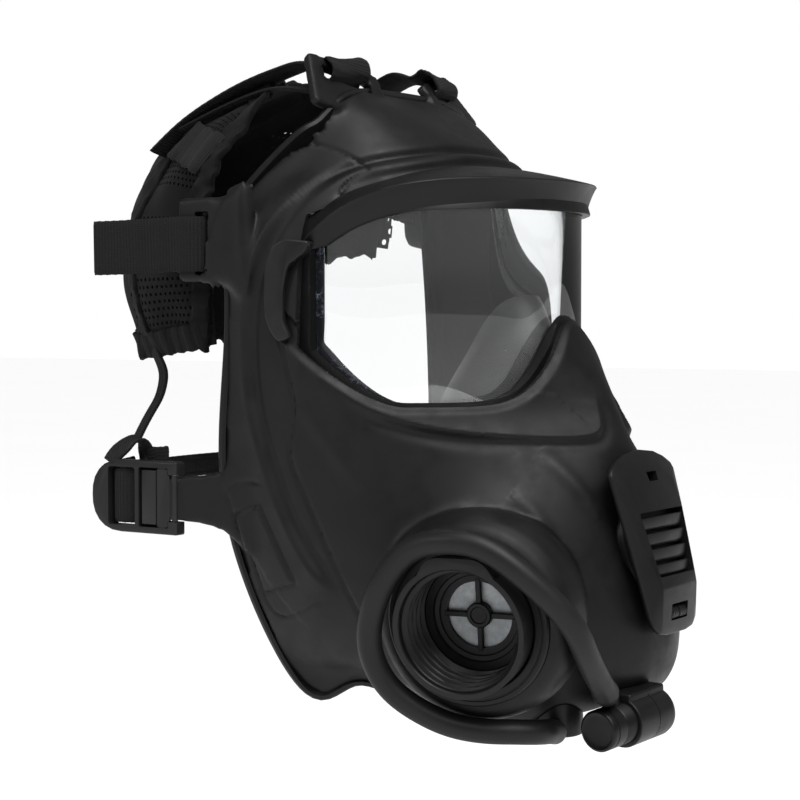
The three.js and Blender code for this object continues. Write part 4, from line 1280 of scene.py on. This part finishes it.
def nose_cup():
    outer, inner = cup_skin(0), cup_skin(2)
    lip = outer[0] + (0, 1.2, 0) + unit(outer[0] - (0, -66, -60)) * 1.2
    rows = np.concatenate([lip[None], outer, inner[::-1], (inner[0] + (0, 0.6, 0))[None]])
    faces = grid_faces(len(rows), rows.shape[1], close_rows=True, close_columns=True)
    cup = mesh_piece("oral_nasal_cup", rows.reshape(-1, 3), faces)
    cut(cup, sweep("passage", smooth(MOUTH_ROUTE, 40), circle(3.9, 20), (0, 1, 0)))
    for (x, y, z), side in zip(CUP_VALVES, ("right", "left")):
        matrix = frame_at((x, y, z), (np.sign(x), -0.35, 0))
        cut(cup, rod("cup_bore", 9.3, -14, 14, matrix, 48))
        seat = lathe(f"cup_seat_{side}", [(6.6, -2), (9, -2), (9, 2.6), (11, 2.6), (11, 3.8), (10.6, 4.2),
                                          (6.6, 4.2),
                                          (6.6, -2)], matrix, 64)
        join(seat, *crossed("bar", 7.2, 0.7, 1, 2.6, matrix))
        finished(seat, "mask", "plastic", stands_for=[f"nose_cup_valve_seat_{side}"])
        disc = [(0, -3.1), (7.8, -3.1), (8.2, -2.9), (8.2, -2.5), (6, -2.3), (0, -2.3)]
        finished(lathe(f"cup_disc_{side}", disc, matrix, 48), f"cup_valve_{side}", "valve",
                 stands_for=[f"nose_cup_valve_disc_{side}"])
    finished(cup, "mask", "rubber", "band", ["nose_cup"])


nose_cup()


def gasket():
    """The black seal behind the lens's edge."""
    outer = visor_block("lens_seal", LENS["radius"] + 0.25, 68.4, 3, 89.4, 120)
    cut(outer, visor_block("seal_inside", 50, 90, -1.4, 86, 120))
    combine(outer, space_behind("within", -(WALL + 0.3), 90), "INTERSECT")
    finished(outer, "mask", "plastic", "band", ["lens_gasket"])


gasket()


# ---------------------------------------------------------------- buckles
buckle = frame_at((PIN[0] + 2.5, PIN[1], PIN[2]), (-1, 0, 0), (0, 1, 0))
BUCKLE_SIDE = [(12.9, -2.6), (12.9, 23), (12.5, 27.3), (11.2, 30.8), (9.2, 33.4), (6.4, 35.4), (3.2, 36.4),
               (0, 36.6)]


def buckle_frame():
    outline = BUCKLE_SIDE + [(-x, y) for x, y in BUCKLE_SIDE[-2::-1]]
    frame_piece = bevelled(slab("buckle", outline, 0, 5, buckle), 0.7, 3)
    cut(frame_piece, slab("strap_window", rectangle(-10.4, 10.4, 16.4, 28.8, radius=1), -4, 9, buckle))
    cut(frame_piece, slab("front_window", rectangle(-10.6, 10.6, 1.2, 14.6, radius=0.5), 0.9, 9, buckle))
    cut(frame_piece, slab("mouth", rectangle(-8.3, 8.3, -9, 4), -4, 9, buckle))
    plate = slab("plate", rounded([(-10.3, 6.4), (10.3, 6.4), (10.3, 1.5), (8.1, 1.5), (8.1, -2.5),
                                   (-8.1, -2.5),
                                   (-8.1, 1.5), (-10.3, 1.5)], 0.4, 2), 4.0, 4.9, buckle)
    cut(bevelled(plate, 0.2, 1), rod("hinge_room", 2.45, -12, 12, upright(PIN), 32))
    join(plate, slab("plate_lugs", rectangle(-10.9, 10.9, 2.6, 5.6), 4.1, 4.8, buckle))
    return join(frame_piece, plate)


def cam_bar():
    bar = bevelled(slab("cam", rectangle(-9.7, 9.7, 6.9, 13.6), 1.2, 4.7, buckle), 0.5, 3)
    for k in range(6):
        y = 7.9 + 0.95 * k
        cut(bar, slab("cam_groove", rectangle(-8.6, 8.6, y, y + 0.28), 0.9, 1.6, buckle))
    return bar


def pin():
    return lathe("hinge_pin", [(0, -11.8), (0.7, -11.8), (1.1, -11.4), (1.1, 11.4), (0.7, 11.8), (0, 11.8)],
                 upright(PIN), 32)


BAND_STEP = 0.26


def band(name, line, width, thickness, across, rib=1.1, depth=0.16, plain=(1.0, 1.0)):
    """Webbing along a line with its cross ribs standing proud. plain is the part, as shares of the
    length, that is flat instead."""
    count = max(12, int(length_of(line) / BAND_STEP))
    line = even(smooth(line, 400), count)
    run = np.linspace(0, length_of(line), count)
    share = run / run[-1]
    ribbed = 1 - ease(plain[0] - 0.01, plain[0] + 0.01, share) * (1 - ease(plain[1] - 0.01, plain[1] + 0.01,
                                                                           share))
    swell = 1 + (2 * depth / thickness) * (np.abs(np.sin(pi * run / rib)) - 0.5) * ribbed
    base = ribbon(width, thickness, 15)
    sections = np.repeat(base[None], count, 0)
    edge = 1 - 0.35 * np.exp(-((np.abs(sections[..., 0]) - width / 2 + 2.0) / 0.35) ** 2)
    sections[..., 1] *= swell[:, None] * edge
    sections[..., 0] *= (1 + 0.006 * np.sin(run * 2.1) + 0.004 * np.sin(run * 5.3 + 1))[:, None]
    return sweep(name, line, sections, across)


def buckle_band():
    """The webbing where it crosses the buckle's window, bowed outwards round the rear bar."""
    line = [(0, y, z) for y, z in ((16.9, -3.2), (17.3, -0.6), (17.9, 1.9), (19.8, 3.3), (22.6, 3.8),
                                   (25.4, 3.3),
                                   (27.2, 2.0), (27.8, 0.2), (29.6, -1.2), (33, -1.8), (38, -2.4))]
    return band("web", put(line, buckle), 19.2, 1.5, (0, 0, 1))


paired(buckle_frame, "buckle_body_{}", "buckle_{}", "plastic", "satin", ["buckle_frame_{}"])
paired(cam_bar, "buckle_slide_{}", "cam_bar_{}", "plastic", "satin", ["buckle_cam_bar_{}"])
paired(pin, "buckle_hinge_{}", "buckle_{}", "steel", "steel", ["buckle_pin_{}"])
paired(buckle_band, "buckle_band_{}", "buckle_{}", "webbing", "webbing", ["buckle_webbing_{}"], 60)


# ---------------------------------------------------------------- straps
def temple_strap():
    """Up from the harness inside the tab, out through its slot and back over the outside."""
    line = [(-58, 36, 20), (-63, 28, 20), (-68.2, 19.5, 20), (-69.9, 13, 20), (-71.2, 8.6, 20),
            (-73.6, 6.9, 20),
            (-76.4, 6.6, 20), (-78.6, 8.4, 20), (-79.4, 12.5, 20), (-79.6, 18, 19.9), (-80.6, 28, 19.6),
            (-82.2, 38, 19.2), (-84.2, 49, 19)]
    return band("temple", line, 19, 1.5, (0, 0, 1), plain=(0.83, 2.0))


def top_strap():
    """Up behind the tab, through its window, over the tab's bar and back across the harness."""
    fold = put([(0, 5.6, -8), (0, 6.6, -3.4), (0, 7.2, 0.2), (0, 7.6, 3.4), (0, 9.0, 5.6), (0, 11.8, 5.9),
                (0, 14.6, 5.2), (0, 16.3, 2.8), (0, 16.9, -0.6)], TABS["top"][0])
    under = [(-41, 40, 63), (-38, 24, 70), (-35, 6, 76), (-33, -8, 76.5)]
    over = [(-29.8, -8.5, 85.8), (-32, 1, 84), (-35.2, 13, 79.6), (-38.6, 26, 73), (-41.6, 38, 65),
            (-45, 50, 54)]
    line = np.concatenate([under, fold[1:], over])
    return band("top", line, 19, 1.4, (0.93, -0.1, 0.1), plain=(0.70, 1.0))


paired(temple_strap, "temple_webbing_{}", "mask", "webbing", "webbing", ["temple_strap_{}"], 60)
paired(top_strap, "top_webbing_{}", "mask", "webbing", "webbing", ["top_strap_{}"], 60)


def lower_strap():
    """Thin elastic from the harness's lower corner down to the folds behind the buckle."""
    line = [(-47.5, 53, -17), (-50, 47.5, -23), (-53, 44, -28), (-57, 42.5, -34), (-60, 43.5, -39),
            (-63, 45, -44.5), (-66, 46, -50)]
    return band("elastic", line, 6, 1.3, (0.45, 0.75, 0.1), rib=0.9, depth=0.1)


def neck_strap():
    """Half of the strap that joins the two buckles behind the neck."""
    line = [(-66.8, 46, -60), (-64, 54, -61.5), (-58, 64, -63), (-44, 77, -65), (-24, 87, -66),
            (-0.2, 90, -66.5)]
    return band("neck", line, 9, 1.6, (0, 0, 1), rib=0.9, depth=0.1)


def buckle_folds():
    """The webbing's spare end, folded up behind the buckle's rear bar."""
    first = [(11, 34, -2.2), (13.6, 32.5, -3.0), (16.4, 29, -3.6), (18.6, 25, -4.4), (18.8, 23, -5.6),
             (17, 21.6, -6.6), (13, 20.6, -7.0), (6, 20, -6.8), (-4, 20.3, -5.6)]
    second = [(-6, 16.5, -3.4), (4, 16, -5.4), (10, 16.2, -6.8), (14, 17, -8), (16, 18.2, -9.2),
              (15.4, 20, -10.4),
              (11, 21.4, -10.6), (3, 22, -10.2)]
    pieces = [band("fold", put(line, buckle), width, 1.3, buckle[:3, 1] * 0.9 + buckle[:3, 2] * k, rib=1.0,
                   depth=0.12)
              for line, width, k in ((first, 11, -0.35), (second, 9, 0.45))]
    return gathered("folds", pieces)


def crossing(pieces):
    """These pieces lie between the mask and each buckle; each piece's transform is baked into its mesh."""
    for piece, side, sign in zip(pieces, ("right", "left"), (1, -1)):
        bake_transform(piece)


crossing(paired(lower_strap, "lower_elastic_{}", None, "webbing", "fine", ["lower_strap_{}"], 60))
crossing(paired(neck_strap, "neck_elastic_{}", None, "webbing", "fine", ["neck_strap_{}"], 60))
paired(buckle_folds, "buckle_folds_{}", "buckle_{}", "webbing", "webbing", (), 60)

# ---------------------------------------------------------------- head harness
CAP_NET = [
    [(60, 14, -15), (52, 42, -17), (37, 66, -18), (19, 79, -14), (0, 85, -10)],
    [(64, 13, 14), (59, 42, 14), (43, 71, 14), (22, 84, 14), (0, 89, 12)],
    [(64, 12, 40), (57, 36, 44), (42, 60, 45), (22, 78, 46), (0, 86, 46)],
    [(57, 8, 58), (50, 24, 63), (36, 42, 64.5), (18, 58, 66), (0, 66, 66)],
    [(46, 3, 71), (37, 8, 76.5), (25, 14, 80), (12, 19, 82), (0, 20, 82)],
]
CELLS_ACROSS, CELLS_UP = 84, 46
CLOTH_THICKNESS = 0.6
HEAD_MIDDLE = (0, 25, 20)


def cap_surface(u, v):
    """Points of the harness, from the right edge (u 0) to the left (u 1) and bottom (v 0) to top."""
    left = np.array(CAP_NET, float)
    net = np.concatenate([mirrored(left), left[:, -2::-1]], 1)
    dense = spline(spline(net.transpose(1, 0, 2), np.linspace(0, 8, 241)).transpose(1, 0, 2),
                   np.linspace(0, 4, 161))
    i, j = np.clip(v, 0, 1) * 160, np.clip(u, 0, 1) * 240
    a, b = np.minimum(i.astype(int), 159), np.minimum(j.astype(int), 239)
    f, g = (i - a)[..., None], (j - b)[..., None]
    lower = dense[a, b] * (1 - g) + dense[a, b + 1] * g
    upper = dense[a + 1, b] * (1 - g) + dense[a + 1, b + 1] * g
    at = lower * (1 - f) + upper * f
    forward = (1 - ease(38, 52, at[..., 1])) * (at[..., 0] > 0)
    at[..., 2] += 22 * forward * np.clip((60 - at[..., 2]) / 75, 0, 1)
    slack = np.sin(u * 31 + v * 5) * np.sin(v * 17 + u * 9) + 0.6 * np.sin(u * 57 - v * 12)
    return at + unit(at - HEAD_MIDDLE) * 0.8 * slack[..., None]


def open_mesh(y, z):
    """Whether the cloth is open mesh there: a panel at each temple and one above it."""
    return (-9 < z < 31 and y < 68) or (41 < z < 68 and y < 52)


def mesh_cap():
    """Warp-knit mesh: offset rows of eight-sided holes between yarns."""
    eighths = np.array([(-1, -1), (0, -1), (1, -1), (1, 0), (1, 1), (0, 1), (-1, 1), (-1, 0)])
    corner = eighths * 0.5
    hole = eighths * np.where(np.abs(eighths).sum(1, keepdims=True) > 1, (0.24, 0.24), (0.31, 0.33)) * 0.8
    places, faces = [], []
    for row in range(CELLS_UP):
        for column in range(CELLS_ACROSS + row % 2):
            centre = np.array((column + 0.5 - 0.5 * (row % 2), row + 0.5))
            start = len(places) * 16
            places.append(np.concatenate([centre + corner, centre + hole]))
            _, y, z = cap_surface(*(centre / (CELLS_ACROSS, CELLS_UP))[:, None])[0]
            if open_mesh(y, z):
                faces += [[start + k, start + (k + 1) % 8, start + 8 + (k + 1) % 8,
                           start + 8 + k] for k in range(8)]
            else:
                faces.append([start + k for k in range(8)])
    places = np.concatenate(places) / (CELLS_ACROSS, CELLS_UP)
    cap = mesh_piece("mesh_harness", cap_surface(places[:, 0], places[:, 1]), faces)
    reworked(cap.data, lambda work: bmesh.ops.dissolve_degenerate(work, edges=work.edges, dist=0.02 * MM))
    thick = cap.modifiers.new("thick", "SOLIDIFY")
    thick.thickness = CLOTH_THICKNESS * MM
    thick.offset = -1
    return finished(settle(cap), "mask", "mesh", stands_for=["head_harness"], angle=60)


def gathered_band(name, places, inward, width, thickness, look, wave=7.0, wobble=0.9, seed=0.0):
    """A bound or gathered strip over the mesh, along places in the cap's own u and v."""
    raw = smooth(places, 1200)
    line = cap_surface(raw[:, 0], raw[:, 1])
    count = int(length_of(line) / 0.8)
    line = even(line, count)
    raw = even(raw, count)
    aside = cap_surface(*np.clip(raw + np.array(inward) * 0.02, 0, 1).T) - line
    run = np.linspace(0, length_of(line), count)
    out = unit(line - HEAD_MIDDLE)
    section = np.array([(-0.5, 0), (-0.46, 0.42), (-0.3, 0.5), (-0.1, 0.46), (0.1, 0.52), (0.3, 0.46),
                        (0.46, 0.4),
                        (0.5, 0), (0.46, -0.42), (0.2, -0.5), (-0.2, -0.5), (-0.46, -0.42)])
    ruffle = np.sin(2 * pi * run / wave + seed + 1.3 * np.sin(run / 11 + seed))
    fine = np.sin(2 * pi * run / (wave * 0.37) + 2 * seed)
    sections = np.repeat(section[None], count, 0)
    edge = np.abs(section[:, 0]) * 2
    puff = 1 + 0.16 * ruffle[:, None] * edge + 0.06 * fine[:, None]
    sections[..., 0] *= width * (1 + 0.04 * ruffle + 0.02 * fine)[:, None]
    sections[..., 1] = sections[..., 1] * thickness * puff
    line = line + out * (0.12 * wobble * ruffle + 0.2 * thickness)[:, None]
    piece = sweep(name, line, sections, aside)
    return finished(piece, "mask", "mesh", look, angle=60)


def side_bands(name, places, thickness, wobble, seed):
    """A strip up the right side of the cap, given by its places, and its twin on the left."""
    return [gathered_band(f"{name}_{side}", [(u if sign > 0 else 1 - u, v) for u, v in places], (sign, 0),
                          9,
                          thickness, "binding", 9, wobble, seed=seed + k)
            for k, (side, sign) in enumerate((("right", 1), ("left", -1)))]


def harness():
    """The mesh cap with its bound edges, a gathered band up each side, and the crown's strap."""
    cap = mesh_cap()
    bottom = [(0.02, 0.04), (0.15, 0.02), (0.35, 0.02), (0.5, 0.02), (0.65, 0.02), (0.85, 0.02),
              (0.98, 0.04)]
    edge = [(0.035, 0.0), (0.022, 0.15), (0.02, 0.5), (0.02, 0.8), (0.04, 0.99)]
    top = [(0.03, 0.97), (0.2, 0.975), (0.4, 0.98), (0.6, 0.98), (0.8, 0.975), (0.97, 0.97)]
    side = [(0.19, 0.01), (0.2, 0.2), (0.205, 0.5), (0.19, 0.78), (0.15, 0.97)]
    crown = [(0.03, 0.62), (0.15, 0.66), (0.3, 0.7), (0.5, 0.71), (0.7, 0.7), (0.85, 0.66), (0.97, 0.62)]
    strips = [gathered_band("harness_edge_bottom", bottom, (0, 1), 10, 2.2, "binding", 8),
              *side_bands("harness_edge", edge, 2.2, 0.9, 1.0),
              gathered_band("harness_edge_top", top, (0, -1), 9, 2.2, "binding", 10, seed=3.0),
              *side_bands("harness_band", side, 1.8, 1.4, 4.0),
              gathered_band("harness_band_crown", crown, (0, 1), 17, 1.6, "webbing", 12, 0.8, seed=6.0)]


harness()


# ---------------------------------------------------------------- studio
AMBIENT, MIRRORED = 0.2, 0.22
SUN = {"azimuth": -40, "elevation": 62, "strength": 3.0, "angle": 60}
# Name, azimuth, elevation, distance, size across and power of each lamp.
LAMPS = [("key", -35, 50, 1.3, 0.45, 7), ("side", -115, 25, 1.5, 0.4, 4)]

# How far the floor lies under the object, and its side, in metres.
FLOOR_DROP, FLOOR_SIDE = 0.12, 16.0


def studio():
    """A plain white room, dimmer on the object than it looks, with soft light from above."""
    world = bpy.data.worlds.new("studio")
    scene.world = world
    world.use_nodes = True
    tree = world.node_tree
    rays = tree.nodes.new("ShaderNodeLightPath")

    def step(operation, a, b):
        node = tree.nodes.new("ShaderNodeMath")
        node.operation = operation
        for socket, value in zip(node.inputs, (a, b)):
            if isinstance(value, float):
                socket.default_value = value
            else:
                tree.links.new(value, socket)
        return node.outputs[0]

    seen = step("MAXIMUM", rays.outputs["Is Camera Ray"], rays.outputs["Is Transmission Ray"])
    seen = step("MAXIMUM", seen, step("MULTIPLY", rays.outputs["Is Glossy Ray"], MIRRORED))
    tree.links.new(step("MAXIMUM", seen, AMBIENT), tree.nodes["Background"].inputs["Strength"])
    tree.nodes["Background"].inputs["Color"].default_value = (1, 1, 1, 1)
    for name, azimuth, elevation, distance, size, power in LAMPS:
        light = bpy.data.lights.new(name, "AREA")
        light.shape = "DISK"
        light.size = size
        light.energy = power
        looking(bpy.data.objects.new(name, light), azimuth, elevation, distance, CAMERA_TARGET)
    sun = bpy.data.lights.new("sun", "SUN")
    sun.energy = SUN["strength"]
    sun.angle = radians(SUN["angle"])
    looking(bpy.data.objects.new("sun", sun), SUN["azimuth"], SUN["elevation"], 2, CAMERA_TARGET)
    low, half = cad_box[0][2] - FLOOR_DROP, FLOOR_SIDE / 2
    floor = bpy.data.meshes.new("floor")
    floor.from_pydata([(-half, -half, low), (half, -half, low), (half, half, low), (-half, half, low)], [],
                      [(0, 1, 2, 3)])
    ground = new_object("floor", floor)
    paint = Finish("floor_paint", Roughness=0.9, Specular_IOR_Level=0.1)
    paint.colour(paint.mix(paint.noise(3, 2), grey(0.94), grey(0.96)))
    floor.materials.append(paint.material)


studio()
